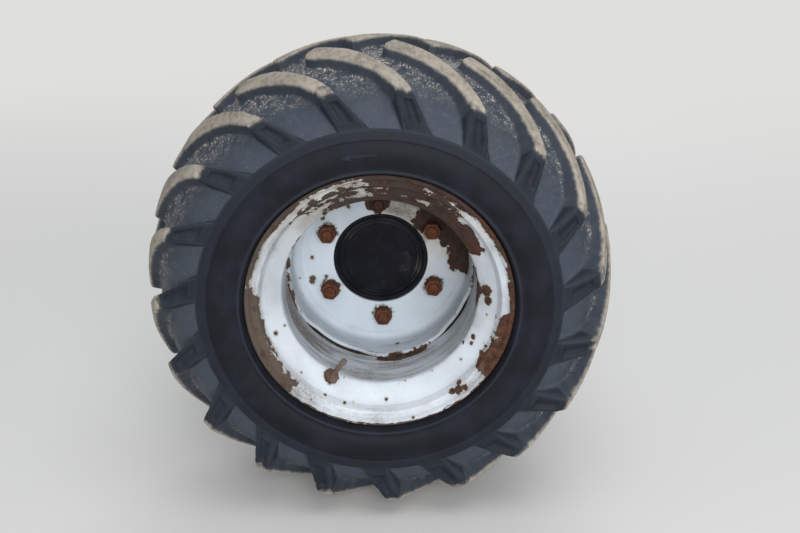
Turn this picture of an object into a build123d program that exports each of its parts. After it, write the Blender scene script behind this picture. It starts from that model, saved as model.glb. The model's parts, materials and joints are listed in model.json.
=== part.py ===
"""A compact loader's wheel on the axle end that carries it.

A worn bar-lug flotation tyre, 31 x 15.50-15, sits on a 13.00 x 15 drop-centre rim. A dished disc is
welded into the rim and six nuts hold it on the hub. The hub turns on the spindle of a cast axle arm,
which bolts to the axle's centre housing by its inner flange. The half shaft drives the hub through it.

Millimetres. The origin is the centre of the arm's inner flange face, on the spin axis. +Y points into
the machine, so the wheel's outer side faces -Y. +X is level and +Z is up. Distances called inward or
from the middle are along Y from the wheel's middle plane. Angles are counter-clockwise from +X, seen
from the wheel's outer side.
"""

import os
from math import cos, hypot, radians, sin, tan

from build123d import *

os.makedirs("parts", exist_ok=True)

# The wheel's middle plane, measured from the inner flange face of the axle arm
WHEEL_PLANE = -300.0

# Rim: sheet steel with a turned lip, a flange, a narrow bead seat, a slope and the well
BEAD_RADIUS = 190.5
FLANGE_SPAN = 330.2
RIM_SHEET = 6.0
FLANGE_HEIGHT = 20.0
LIP_REACH = 12.9
SEAT_WIDTH = 8.1
SLOPE_RUN = 26.0
WELL_DEPTH = 28.5

# Tyre: a hollow casing with straight bar lugs, worn to about two thirds of their first height
TYRE_FLATS = 38
SEAT_GAP = 0.3
BEAD_WIDTH = 22.9
SECTION_WIDTH = 197.0
RING_RADIUS = 284.0
SHOULDER_WIDTH = 187.0
CASING_CROWN_RADIUS = 362.0
CROWN_THICKNESS = 20.0
LUG_COUNT = 19
LUG_FIRST_ANGLE = 100.0
LUG_TURN = 13.0
LUG_ROOT_RADIUS = 300.0
LUG_TIP_RADIUS = 381.0
LUG_FOOT_DEPTH = 50.0

# Disc: a flat plate whose skirt turns outward and is welded in the well
DISC_FACE = 28.0
DISC_SHEET = 10.0
DISH_CORNER = 12.0
SKIRT_SHEET = 6.0
SKIRT_LENGTH = 61.0
SKIRT_GAP = 0.3
PILOT_BORE = 80.5

# Wheel studs and nuts: M18, on a circle of 205
STUD_COUNT = 6
STUD_CIRCLE_RADIUS = 102.5
STUD_FIRST_ANGLE = 32.0
STUD_RADIUS = 9.0
STUD_HOLE_GAP = 0.8
STUD_TIP = 2.5
THREAD_GAP = 0.05
NUT_ACROSS_FLATS = 27.0
NUT_HEIGHT = 19.0

# Hub: pilot, wheel flange and drum, with the bore that runs on the spindle
PILOT_GAP = 0.2
PILOT_LENGTH = 6.0
HUB_FLANGE_RADIUS = 126.0
HUB_FLANGE_SHEET = 17.0
DRUM_RADIUS = 87.0
DRUM_LENGTH = 91.0
DRUM_CHAMFER = 6.0
RUNNING_GAP = 0.05
SPINDLE_END_GAP = 3.0

# Hub cover: a pressed plate with a raised edge and a groove inside it
COVER_RADIUS = 74.0
COVER_SHEET = 9.0
COVER_EDGE = 2.0
COVER_GROOVE_WIDTH = 4.0
COVER_GROOVE_DEPTH = 2.0

# Tyre valve, low on the rim's outer slope, with its stem bent towards the axle
VALVE_ANGLE = 240.3
VALVE_SHARE_UP_SLOPE = 0.25
VALVE_SHANK_RADIUS = 5.6
VALVE_HOLE_GAP = 0.2
VALVE_NUT_FLATS = 22.0
VALVE_NUT_HEIGHT = 7.0
VALVE_NUT_LIFT = 0.5
VALVE_STEM_RADIUS = 4.0
VALVE_NECK = 3.0
VALVE_STEM_LENGTH = 37.0
VALVE_LEAN_OUTWARD = 8.0
VALVE_LEAN_SIDEWAYS = 5.0
VALVE_CAP_RADIUS = 4.8
VALVE_CAP_LENGTH = 10.0

# Axle arm: spindle, collar, neck, flare and inner flange with its spigot
SPINDLE_RADIUS = 62.0
SPINDLE_LENGTH = 78.0
COLLAR_RADIUS = 86.0
COLLAR_SHEET = 16.0
COLLAR_GAP = 2.0
NECK_RADIUS = 64.0
FLARE_LENGTH = 36.0
FLARE_RADIUS = 92.0
ARM_FLANGE_RADIUS = 130.0
ARM_FLANGE_SHEET = 18.0
ARM_BOLT_COUNT = 10
ARM_BOLT_CIRCLE_RADIUS = 115.0
ARM_BOLT_HOLE = 6.75
SPIGOT_RADIUS = 85.0
SPIGOT_HEIGHT = 8.0
RIB_SHEET = 9.0
RIB_LENGTH = 60.0
RIB_REACH = 122.0
RIB_BOLT_STEPS = (0, 5, 7, 8)

# Frame pad, cast on top of the arm
PAD_HEIGHT = 96.0
PAD_SHEET = 20.0
PAD_MIDDLE = -80.0
PAD_WIDTH = 124.0
PAD_LENGTH = 96.0
PAD_CORNER = 12.0
PAD_WEB = 58.0
PAD_WEB_FOOT = 45.0
PAD_BOLT_SPACING_X = 92.0
PAD_BOLT_SPACING_Y = 64.0
PAD_BOLT_HOLE = 8.75

# Oil plug, in a boss on the neck
PLUG_ANGLE = 216.0
PLUG_PLACE = -92.0
PLUG_BOSS_RADIUS = 15.0
PLUG_BOSS_HEIGHT = 5.0
PLUG_FLATS = 22.0
PLUG_HEIGHT = 8.0

# Half shaft: a round bar with its splined end standing out of the arm
SHAFT_RADIUS = 19.0
SHAFT_DEPTH = 150.0
SHAFT_REACH = 62.0
SHAFT_END_GAP = 1.0
SEAL_BORE = 34.0
SEAL_DEPTH = 42.0
SPLINE_LENGTH = 40.0
SPLINE_TEETH = 16
SPLINE_ROOT_RADIUS = 16.6
SPLINE_ROOT_SHARE = 0.72
SPLINE_TIP_SHARE = 0.36

# Places that follow from these sizes
half_span = FLANGE_SPAN / 2
lip_radius = BEAD_RADIUS + FLANGE_HEIGHT
lip_width = half_span + LIP_REACH
slope_head = half_span - SEAT_WIDTH
slope_foot = slope_head - SLOPE_RUN
seat_inner_radius = BEAD_RADIUS - RIM_SHEET
well_radius = seat_inner_radius - WELL_DEPTH
hub_seat = DISC_FACE + DISC_SHEET
hub_face = hub_seat - PILOT_LENGTH
flange_back = hub_seat + HUB_FLANGE_SHEET
drum_end = flange_back + DRUM_LENGTH
cover_floor = hub_face + COVER_SHEET
collar_face = WHEEL_PLANE + drum_end + COLLAR_GAP
spindle_end = collar_face - SPINDLE_LENGTH
bolt_step = 360.0 / ARM_BOLT_COUNT
pad_underside = PAD_HEIGHT - PAD_SHEET

# Sections of the wheel are drawn on this plane as (radius, distance inward from the middle)
wheel_section = Plane(origin=(0, WHEEL_PLANE, 0), x_dir=(1, 0, 0), z_dir=(0, 0, 1))


def across(inward):
    """The plane square to the spin axis at a distance inward, drawn as seen from the outer side."""
    return Plane(origin=(0, WHEEL_PLANE + inward, 0), x_dir=(1, 0, 0), z_dir=(0, -1, 0))


def polar(radius, angle):
    """A point on such a plane."""
    return (radius * cos(radians(angle)), radius * sin(radians(angle)))


def outer_half(outline):
    """The outer side's points of an outline given as (radius, distance from the middle)."""
    return [(radius, -width) for radius, width in outline]


def finish(piece, name):
    """Names a piece and writes it to its own file."""
    piece.label = name
    export_step(piece, f"parts/{name}.step")


# The tyre is made of flat faces. Its casing, its air space and the crown that the worn lugs reach are
# rings of straight lengths mitred together, from half outlines of (radius, distance from the middle).
bead = BEAD_RADIUS + SEAT_GAP
flange_face = half_span - SEAT_GAP
casing_outline = [
    (bead, flange_face - BEAD_WIDTH),
    (bead, flange_face),
    (lip_radius - RIM_SHEET, flange_face),
    (lip_radius + 2 * SEAT_GAP, half_span + RIM_SHEET - 2 * SEAT_GAP),
    (lip_radius + 8.0, lip_width + 6.0),
    (lip_radius + 40.0, SECTION_WIDTH),
    (RING_RADIUS, SHOULDER_WIDTH),
    (RING_RADIUS + 22.0, SHOULDER_WIDTH - 13.0),
    (CASING_CROWN_RADIUS - 32.0, SHOULDER_WIDTH - 37.0),
    (CASING_CROWN_RADIUS - 16.0, SHOULDER_WIDTH - 77.0),
    (CASING_CROWN_RADIUS, 0.0),
]
air_outline = [
    (bead - BEAD_WIDTH, flange_face - BEAD_WIDTH),
    (bead, flange_face - BEAD_WIDTH),
    (lip_radius + 30.0, SECTION_WIDTH - 16.0),
    (CASING_CROWN_RADIUS - 44.0, SHOULDER_WIDTH - 51.0),
    (CASING_CROWN_RADIUS - CROWN_THICKNESS, 0.0),
]
crown_outline = [
    (RING_RADIUS, SHOULDER_WIDTH),
    (LUG_TIP_RADIUS - 48.0, SHOULDER_WIDTH),
    (LUG_TIP_RADIUS - 35.0, SHOULDER_WIDTH - 7.0),
    (LUG_TIP_RADIUS - 13.0, SHOULDER_WIDTH - 71.0),
    (LUG_TIP_RADIUS - 2.6, 52.0),
    (LUG_TIP_RADIUS, 0.0),
]


def mitred_ring(outline):
    """A ring of straight lengths whose radii are measured to the flats."""
    step = 360.0 / TYRE_FLATS
    with BuildPart() as length:
        with BuildSketch(wheel_section):
            with BuildLine():
                Polyline(*outer_half(outline), *reversed(outline[:-1]), close=True)
            make_face()
        extrude(amount=outline[-1][0] * sin(radians(step)), both=True)
        for turn, kept in ((-step / 2, Keep.TOP), (step / 2, Keep.BOTTOM)):
            mitre = Plane(origin=(0, 0, 0), z_dir=(-sin(radians(turn)), 0, cos(radians(turn))))
            split(bisect_by=mitre, keep=kept)
    with BuildPart() as ring:
        add([length.part.rotate(Axis.Y, number * step) for number in range(TYRE_FLATS)])
    return ring.part


# One lug in plan: distance from the middle, depth below the crown, angle from its shoulder corner
lug_plan = [
    (SHOULDER_WIDTH + 1.0, 38.0, 0.6),
    (SHOULDER_WIDTH + 1.0, 38.0, 4.9),
    (SHOULDER_WIDTH - 71.0, 13.0, 14.0),
    (58.0, 3.0, 25.8),
    (40.0, 1.0, 26.8),
    (6.0, 0.0, 24.9),
    (6.0, 0.0, 23.9),
    (58.0, 3.0, 15.3),
]
# The foot that it stands on at the sidewall: radius, angle from the shoulder corner
lug_foot = [(RING_RADIUS, -6.8), (RING_RADIUS, 1.2), (LUG_TIP_RADIUS - 43.0, 4.6), (LUG_TIP_RADIUS - 43.0, 0.3)]
lug_pitch = 360.0 / LUG_COUNT
bars = []
feet = []
# The inner side's lugs stand half a pitch on from the outer side's
for side, stagger in ((-1, 0.0), (1, lug_pitch / 2)):
    with BuildPart() as bar:
        with BuildSketch(Plane(origin=(LUG_ROOT_RADIUS, WHEEL_PLANE, 0), x_dir=(0, 0, 1), z_dir=(1, 0, 0))):
            with BuildLine():
                plan = [
                    ((LUG_TIP_RADIUS - depth) * sin(radians(angle - LUG_TURN)), -side * width)
                    for width, depth, angle in lug_plan
                ]
                Polyline(*plan, close=True)
            make_face()
        extrude(amount=LUG_TIP_RADIUS + RIM_SHEET - LUG_ROOT_RADIUS)
    with BuildPart() as foot:
        with BuildSketch(across(side * SHOULDER_WIDTH)):
            with BuildLine():
                Polyline(*[polar(radius, angle - LUG_TURN) for radius, angle in lug_foot], close=True)
            make_face()
        extrude(amount=side * LUG_FOOT_DEPTH)
    for number in range(LUG_COUNT):
        turn = LUG_FIRST_ANGLE + LUG_TURN + stagger + number * lug_pitch
        bars.append(bar.part.rotate(Axis.Y, -turn))
        feet.append(foot.part.rotate(Axis.Y, -turn))

with BuildPart() as lugs:
    add(bars)
    add(mitred_ring(crown_outline), mode=Mode.INTERSECT)
    add(feet)
with BuildPart() as tyre:
    add(mitred_ring(casing_outline))
    add(lugs.part)
    add(mitred_ring(air_outline), mode=Mode.SUBTRACT)
finish(tyre.part, "tyre")

# The valve's shank and nut stand square on the rim's outer slope, in a hole through the sheet
slope_length = hypot(SLOPE_RUN, WELL_DEPTH)
valve_x, valve_z = polar(well_radius + WELL_DEPTH * VALVE_SHARE_UP_SLOPE, VALVE_ANGLE)
level_x, level_z = polar(1.0, VALVE_ANGLE + 90.0)
lean_x, lean_z = polar(-SLOPE_RUN / slope_length, VALVE_ANGLE)
valve_plane = Plane(
    origin=(valve_x, WHEEL_PLANE - slope_foot - SLOPE_RUN * VALVE_SHARE_UP_SLOPE, valve_z),
    x_dir=(level_x, 0, level_z),
    z_dir=(lean_x, -WELL_DEPTH / slope_length, lean_z),
)

# The rim: the side that the tyre sits on, then the side that shows, one sheet apart
slope_shift = RIM_SHEET * (slope_length - SLOPE_RUN) / WELL_DEPTH
tyre_side = [
    (lip_radius, lip_width),
    (lip_radius, half_span + RIM_SHEET),
    (lip_radius - RIM_SHEET, half_span),
    (BEAD_RADIUS, half_span),
    (BEAD_RADIUS, slope_head - slope_shift),
    (well_radius + RIM_SHEET, slope_foot - slope_shift),
]
open_side = [
    (lip_radius - RIM_SHEET, lip_width),
    (BEAD_RADIUS, half_span + RIM_SHEET),
    (seat_inner_radius, slope_head),
    (well_radius, slope_foot),
]
with BuildPart() as rim:
    with BuildSketch(wheel_section):
        with BuildLine():
            Polyline(
                *outer_half(tyre_side),
                *reversed(tyre_side),
                *open_side,
                *reversed(outer_half(open_side)),
                close=True,
            )
        make_face()
    revolve(axis=Axis.Y)
    with BuildSketch(valve_plane.offset(RIM_SHEET)):
        Circle(VALVE_SHANK_RADIUS + VALVE_HOLE_GAP)
    extrude(amount=-3 * RIM_SHEET, mode=Mode.SUBTRACT)
finish(rim.part, "rim")

# The disc: pressed from plate, bored for the hub's pilot and drilled for the studs
skirt_outer = well_radius - SKIRT_GAP
skirt_inner = skirt_outer - SKIRT_SHEET
skirt_edge = DISC_FACE - SKIRT_LENGTH
with BuildPart() as wheel_disc:
    with BuildSketch(wheel_section):
        with BuildLine():
            Polyline(
                (PILOT_BORE, DISC_FACE),
                (skirt_inner - DISH_CORNER, DISC_FACE),
                (skirt_inner, DISC_FACE - DISH_CORNER),
                (skirt_inner, skirt_edge),
                (skirt_outer, skirt_edge),
                (skirt_outer, hub_seat - DISH_CORNER),
                (skirt_outer - DISH_CORNER, hub_seat),
                (PILOT_BORE, hub_seat),
                close=True,
            )
        make_face()
    revolve(axis=Axis.Y)
    with BuildSketch(across(DISC_FACE)):
        with PolarLocations(STUD_CIRCLE_RADIUS, STUD_COUNT, start_angle=STUD_FIRST_ANGLE):
            Circle(STUD_RADIUS + STUD_HOLE_GAP)
    extrude(amount=-DISC_SHEET, mode=Mode.SUBTRACT)
finish(wheel_disc.part, "wheel_disc")

# The hub: a turned casting with the pilot and the wheel flange in front and the spindle bore behind
pilot_radius = PILOT_BORE - PILOT_GAP
cover_seat = COVER_RADIUS + PILOT_GAP
bore_radius = SPINDLE_RADIUS + RUNNING_GAP
bore_floor = spindle_end - WHEEL_PLANE - SPINDLE_END_GAP
with BuildPart() as hub:
    with BuildSketch(wheel_section):
        with BuildLine():
            Polyline(
                (0, cover_floor),
                (cover_seat, cover_floor),
                (cover_seat, hub_face),
                (pilot_radius, hub_face),
                (pilot_radius, hub_seat),
                (HUB_FLANGE_RADIUS, hub_seat),
                (HUB_FLANGE_RADIUS, flange_back),
                (DRUM_RADIUS, flange_back),
                (DRUM_RADIUS, drum_end - DRUM_CHAMFER),
                (DRUM_RADIUS - DRUM_CHAMFER, drum_end),
                (bore_radius, drum_end),
                (bore_radius, bore_floor),
                (0, bore_floor),
                close=True,
            )
        make_face()
    revolve(axis=Axis.Y)
    with BuildSketch(across(hub_seat)):
        with PolarLocations(STUD_CIRCLE_RADIUS, STUD_COUNT, start_angle=STUD_FIRST_ANGLE):
            Circle(STUD_RADIUS + THREAD_GAP)
    extrude(amount=-HUB_FLANGE_SHEET, mode=Mode.SUBTRACT)
finish(hub.part, "hub")

# The cover in the hub's face: its raised edge, the groove inside it and the flat middle
cover_ridge = COVER_RADIUS - COVER_EDGE
cover_middle = cover_ridge - COVER_GROOVE_WIDTH
with BuildPart() as hub_cover:
    with BuildSketch(wheel_section):
        with BuildLine():
            Polyline(
                (0, hub_face),
                (cover_middle, hub_face),
                (cover_middle, hub_face + COVER_GROOVE_DEPTH),
                (cover_ridge, hub_face + COVER_GROOVE_DEPTH),
                (cover_ridge, hub_face - COVER_EDGE),
                (COVER_RADIUS, hub_face - COVER_EDGE),
                (COVER_RADIUS, cover_floor),
                (0, cover_floor),
                close=True,
            )
        make_face()
    revolve(axis=Axis.Y)
finish(hub_cover.part, "hub_cover")

# The studs, screwed into the hub's flange from the front, and a hex nut on each
with BuildPart() as wheel_studs:
    with BuildSketch(across(flange_back)):
        with PolarLocations(STUD_CIRCLE_RADIUS, STUD_COUNT, start_angle=STUD_FIRST_ANGLE):
            Circle(STUD_RADIUS)
    extrude(amount=flange_back - DISC_FACE + NUT_HEIGHT + STUD_TIP)
finish(wheel_studs.part, "wheel_studs")

with BuildPart() as wheel_nuts:
    with BuildSketch(across(DISC_FACE)):
        with PolarLocations(STUD_CIRCLE_RADIUS, STUD_COUNT, start_angle=STUD_FIRST_ANGLE):
            RegularPolygon(NUT_ACROSS_FLATS / 2, 6, major_radius=False)
            Circle(STUD_RADIUS + THREAD_GAP, mode=Mode.SUBTRACT)
    extrude(amount=NUT_HEIGHT)
finish(wheel_nuts.part, "wheel_nuts")

# The valve: a shank through the rim, the hex nut on it, the bent stem and the cap
nut_top = VALVE_NUT_LIFT + VALVE_NUT_HEIGHT
cap_foot = VALVE_STEM_LENGTH - VALVE_CAP_LENGTH
stem_x, stem_z = polar(-cos(radians(VALVE_LEAN_OUTWARD)), VALVE_ANGLE)
sideways = tan(radians(VALVE_LEAN_SIDEWAYS))
stem_plane = Plane(
    origin=valve_plane.offset(nut_top + VALVE_NECK).origin,
    z_dir=(stem_x + sideways * level_x, -sin(radians(VALVE_LEAN_OUTWARD)), stem_z + sideways * level_z),
)
with BuildPart() as valve:
    with BuildSketch(valve_plane.offset(-RIM_SHEET)):
        Circle(VALVE_SHANK_RADIUS)
    extrude(amount=RIM_SHEET + VALVE_NUT_LIFT)
    with BuildSketch(valve_plane.offset(VALVE_NUT_LIFT)):
        RegularPolygon(VALVE_NUT_FLATS / 2, 6, major_radius=False)
    extrude(amount=VALVE_NUT_HEIGHT)
    with BuildSketch(valve_plane.offset(nut_top)):
        Circle(VALVE_STEM_RADIUS)
    extrude(amount=VALVE_NECK)
    with Locations(stem_plane.origin):
        Sphere(VALVE_STEM_RADIUS)
    with BuildSketch(stem_plane):
        Circle(VALVE_STEM_RADIUS)
    extrude(amount=cap_foot)
finish(valve.part, "valve")

with BuildPart() as valve_cap:
    with BuildSketch(stem_plane.offset(cap_foot)):
        Circle(VALVE_CAP_RADIUS)
    extrude(amount=VALVE_CAP_LENGTH)
finish(valve_cap.part, "valve_cap")

# The axle arm: its turned body, drawn as (radius, Y), then the ribs, the frame pad and the plug's boss
shaft_bore = SHAFT_RADIUS + RUNNING_GAP
bore_end = -SHAFT_DEPTH - SHAFT_END_GAP
plug_x, plug_z = polar(1.0, PLUG_ANGLE)
plug_seat = Plane(
    origin=((NECK_RADIUS + PLUG_BOSS_HEIGHT) * plug_x, PLUG_PLACE, (NECK_RADIUS + PLUG_BOSS_HEIGHT) * plug_z),
    x_dir=(0, 1, 0),
    z_dir=(plug_x, 0, plug_z),
)
with BuildPart() as axle_arm:
    with BuildSketch(Plane.XY):
        with BuildLine():
            Polyline(
                (0, spindle_end),
                (SPINDLE_RADIUS, spindle_end),
                (SPINDLE_RADIUS, collar_face),
                (COLLAR_RADIUS, collar_face),
                (COLLAR_RADIUS, collar_face + COLLAR_SHEET),
                (NECK_RADIUS, collar_face + COLLAR_SHEET),
                (NECK_RADIUS, -ARM_FLANGE_SHEET - FLARE_LENGTH),
                (FLARE_RADIUS, -ARM_FLANGE_SHEET),
                (ARM_FLANGE_RADIUS, -ARM_FLANGE_SHEET),
                (ARM_FLANGE_RADIUS, 0),
                (SPIGOT_RADIUS, 0),
                (SPIGOT_RADIUS, SPIGOT_HEIGHT),
                (SEAL_BORE, SPIGOT_HEIGHT),
                (SEAL_BORE, -SEAL_DEPTH),
                (shaft_bore, -SEAL_DEPTH),
                (shaft_bore, bore_end),
                (0, bore_end),
                close=True,
            )
        make_face()
    revolve(axis=Axis.Y)
    # The ribs stand midway between the flange's bolts
    for step_number in RIB_BOLT_STEPS:
        rib_x, rib_z = polar(1.0, step_number * bolt_step)
        with BuildSketch(Plane(origin=(0, 0, 0), x_dir=(rib_x, 0, rib_z), z_dir=(-rib_z, 0, rib_x))):
            with BuildLine():
                Polyline(
                    (NECK_RADIUS - RIB_SHEET, -ARM_FLANGE_SHEET),
                    (NECK_RADIUS - RIB_SHEET, -ARM_FLANGE_SHEET - RIB_LENGTH),
                    (NECK_RADIUS, -ARM_FLANGE_SHEET - RIB_LENGTH),
                    (RIB_REACH, -ARM_FLANGE_SHEET),
                    close=True,
                )
            make_face()
        extrude(amount=RIB_SHEET / 2, both=True)
    with BuildSketch(Plane.XY.offset(PAD_HEIGHT)):
        with Locations((0, PAD_MIDDLE)):
            RectangleRounded(PAD_WIDTH, PAD_LENGTH, PAD_CORNER)
    extrude(amount=-PAD_SHEET)
    with BuildSketch(Plane.XY.offset(PAD_WEB_FOOT)):
        with Locations((0, PAD_MIDDLE)):
            Rectangle(PAD_WEB, PAD_LENGTH)
    extrude(amount=pad_underside - PAD_WEB_FOOT)
    with BuildSketch(Plane.XY.offset(PAD_HEIGHT)):
        with Locations((0, PAD_MIDDLE)):
            with GridLocations(PAD_BOLT_SPACING_X, PAD_BOLT_SPACING_Y, 2, 2):
                Circle(PAD_BOLT_HOLE)
    extrude(amount=-PAD_SHEET, mode=Mode.SUBTRACT)
    with BuildSketch(plug_seat):
        Circle(PLUG_BOSS_RADIUS)
    extrude(amount=-PLUG_BOSS_HEIGHT - PLUG_BOSS_RADIUS / 2)
    with BuildSketch(Plane.XZ):
        with PolarLocations(ARM_BOLT_CIRCLE_RADIUS, ARM_BOLT_COUNT, start_angle=bolt_step / 2):
            Circle(ARM_BOLT_HOLE)
    extrude(amount=ARM_FLANGE_SHEET, mode=Mode.SUBTRACT)
finish(axle_arm.part, "axle_arm")

# The oil plug, a hex head on its boss
with BuildPart() as oil_plug:
    with BuildSketch(plug_seat):
        RegularPolygon(PLUG_FLATS / 2, 6, major_radius=False)
    extrude(amount=PLUG_HEIGHT)
finish(oil_plug.part, "oil_plug")

# The half shaft: a round bar and its spline, drawn tooth by tooth
tooth_step = 360.0 / SPLINE_TEETH
spline = []
for tooth in range(SPLINE_TEETH):
    for radius, share in (
        (SPLINE_ROOT_RADIUS, -SPLINE_ROOT_SHARE / 2),
        (SHAFT_RADIUS, -SPLINE_TIP_SHARE / 2),
        (SHAFT_RADIUS, SPLINE_TIP_SHARE / 2),
        (SPLINE_ROOT_RADIUS, SPLINE_ROOT_SHARE / 2),
    ):
        spline.append(polar(radius, (tooth + share) * tooth_step))
with BuildPart() as half_shaft:
    with BuildSketch(Plane.XZ.offset(-(SHAFT_REACH - SPLINE_LENGTH))):
        Circle(SHAFT_RADIUS)
    extrude(amount=SHAFT_REACH - SPLINE_LENGTH + SHAFT_DEPTH)
    with BuildSketch(Plane.XZ.offset(-SHAFT_REACH)):
        with BuildLine():
            Polyline(*spline, close=True)
        make_face()
    extrude(amount=SPLINE_LENGTH)
finish(half_shaft.part, "half_shaft")
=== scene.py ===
import json
import math
import random

import bmesh
import bpy
import numpy as np
from mathutils import Matrix, Vector


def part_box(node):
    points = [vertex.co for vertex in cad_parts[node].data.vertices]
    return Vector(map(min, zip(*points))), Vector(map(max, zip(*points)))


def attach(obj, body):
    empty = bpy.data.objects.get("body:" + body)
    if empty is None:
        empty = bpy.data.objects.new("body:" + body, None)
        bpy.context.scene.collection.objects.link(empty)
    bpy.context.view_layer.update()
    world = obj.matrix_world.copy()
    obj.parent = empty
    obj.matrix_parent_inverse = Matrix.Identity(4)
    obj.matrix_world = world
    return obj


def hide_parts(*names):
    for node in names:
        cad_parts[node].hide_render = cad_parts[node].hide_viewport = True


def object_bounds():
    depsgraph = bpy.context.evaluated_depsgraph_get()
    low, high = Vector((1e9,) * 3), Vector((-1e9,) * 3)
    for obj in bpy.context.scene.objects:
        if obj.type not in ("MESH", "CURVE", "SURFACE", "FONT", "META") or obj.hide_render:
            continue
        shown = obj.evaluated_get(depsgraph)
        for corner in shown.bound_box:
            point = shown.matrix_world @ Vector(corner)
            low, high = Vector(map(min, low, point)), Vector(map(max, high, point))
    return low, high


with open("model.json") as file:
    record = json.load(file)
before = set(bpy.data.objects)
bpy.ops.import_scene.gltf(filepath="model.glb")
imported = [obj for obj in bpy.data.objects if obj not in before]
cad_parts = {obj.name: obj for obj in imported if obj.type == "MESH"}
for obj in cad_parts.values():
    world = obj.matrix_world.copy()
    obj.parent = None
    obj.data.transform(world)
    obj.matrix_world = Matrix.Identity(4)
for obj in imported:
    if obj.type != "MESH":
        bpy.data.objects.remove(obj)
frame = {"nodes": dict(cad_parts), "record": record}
cad_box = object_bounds()

# Axle arm
# The steel casting that carries the wheel: spindle, collar, ribbed neck, frame pad and bolted flange.
# It is painted satin black after casting, and road dust lies on it. The machined faces stay bare.
MM = 0.001
ARM_EDGE = 1.4
ARM_BLACK = (0.022, 0.022, 0.024, 1)
ROAD_DUST = (0.20, 0.165, 0.125, 1)
# The darkest rust brown, and also the tint of painted shade on rust at the wheel's top.
RUST_AND_SHADE_DARK = (0.018, 0.012, 0.010, 1)
RUST_BROWN = (0.070, 0.029, 0.017, 1)
RUST_ORANGE = (0.190, 0.056, 0.022, 1)
MACHINED_STEEL = (0.300, 0.290, 0.275, 1)
FLANGE_FACE = -0.6
PAD_FACE = 0.6

scene = bpy.context.scene
mount_places = {mount["name"]: mount["pos_m"] for mount in frame["record"]["mounts"]}
pad_middle, pad_top = mount_places["frame_pad"][1] / MM, mount_places["frame_pad"][2] / MM
wheel_low, wheel_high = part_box("tyre")
WHEEL_PLANE = (wheel_low.y + wheel_high.y) / 2


class Wiring:
    """Adds nodes to one tree, fills their inputs and joins them."""

    def __init__(self, tree):
        self.tree = tree

    def add(self, kind, inputs=(), **settings):
        node = self.tree.nodes.new(kind)
        for name, value in settings.items():
            setattr(node, name, value)
        for name, value in dict(inputs).items():
            self.feed(node.inputs[name], value)
        return node

    def feed(self, socket, value):
        if isinstance(value, bpy.types.NodeSocket):
            self.tree.links.new(value, socket)
        else:
            socket.default_value = value

    def math(self, operation, *values, clamp=False):
        node = self.tree.nodes.new("ShaderNodeMath")
        node.operation = operation
        node.use_clamp = clamp
        for socket, value in zip(node.inputs, values):
            self.feed(socket, value)
        return node.outputs[0]

    def largest(self, *values):
        found = values[0]
        for value in values[1:]:
            found = self.math("MAXIMUM", found, value)
        return found

    def vector(self, operation, *values, output=0):
        node = self.tree.nodes.new("ShaderNodeVectorMath")
        node.operation = operation
        for socket, value in zip([s for s in node.inputs if s.enabled], values):
            self.feed(socket, value)
        return node.outputs[output]

    def mix(self, factor, first, second):
        node = self.tree.nodes.new("ShaderNodeMix")
        node.data_type = "RGBA"
        for index, value in ((0, factor), (6, first), (7, second)):
            self.feed(node.inputs[index], value)
        return node.outputs[2]

    def step(self, value, low, high, top=1.0):
        node = self.tree.nodes.new("ShaderNodeMapRange")
        node.interpolation_type = "SMOOTHSTEP"
        self.feed(node.inputs["Value"], value)
        for name, limit in (("From Min", low), ("From Max", high), ("To Max", top)):
            self.feed(node.inputs[name], limit)
        return node.outputs["Result"]

    def noise(self, position, size, detail=3.0, roughness=0.55):
        """Noise from 0 to 1 about 0.5, whose lumps are about that size in millimetres."""
        node = self.add(
            "ShaderNodeTexNoise", {"Vector": position, "Scale": 1.0 / size, "Detail": detail, "Roughness": roughness}
        )
        return node.outputs[0]

    def group(self, tree, inputs):
        node = self.tree.nodes.new("ShaderNodeGroup")
        node.node_tree = tree
        for name, value in inputs.items():
            self.feed(node.inputs[name], value)
        return node.outputs


def node_group(name, kind, inputs, outputs):
    """An empty node group with named sockets: its wiring, what comes in and what goes out."""
    tree = bpy.data.node_groups.new(name, kind)
    for label, socket_kind, value in inputs:
        socket = tree.interface.new_socket(label, in_out="INPUT", socket_type="NodeSocket" + socket_kind)
        if value is not None:
            socket.default_value = value
    for label, socket_kind in outputs:
        tree.interface.new_socket(label, in_out="OUTPUT", socket_type="NodeSocket" + socket_kind)
    return Wiring(tree), tree.nodes.new("NodeGroupInput").outputs, tree.nodes.new("NodeGroupOutput").inputs


def rust_group():
    """Rust of three browns with its grain, in millimetres."""
    w, given, out = node_group(
        "Rust", "ShaderNodeTree",
        [("Position", "Vector", None), ("Redness", "Float", 0.5)],
        [("Colour", "Color"), ("Height", "Float")],
    )
    blotch = w.noise(given["Position"], 11.0, 4)
    grain = w.noise(given["Position"], 1.6, 5, 0.65)
    brown = w.mix(w.step(blotch, 0.36, 0.6), RUST_AND_SHADE_DARK, RUST_BROWN)
    bright = w.math("MULTIPLY", w.step(grain, 0.44, 0.66), given["Redness"])
    w.feed(out["Colour"], w.mix(bright, brown, RUST_ORANGE))
    w.feed(out["Height"], w.math("ADD", w.math("MULTIPLY", blotch, 0.5), w.math("MULTIPLY", grain, 0.35)))
    return w.tree


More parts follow.
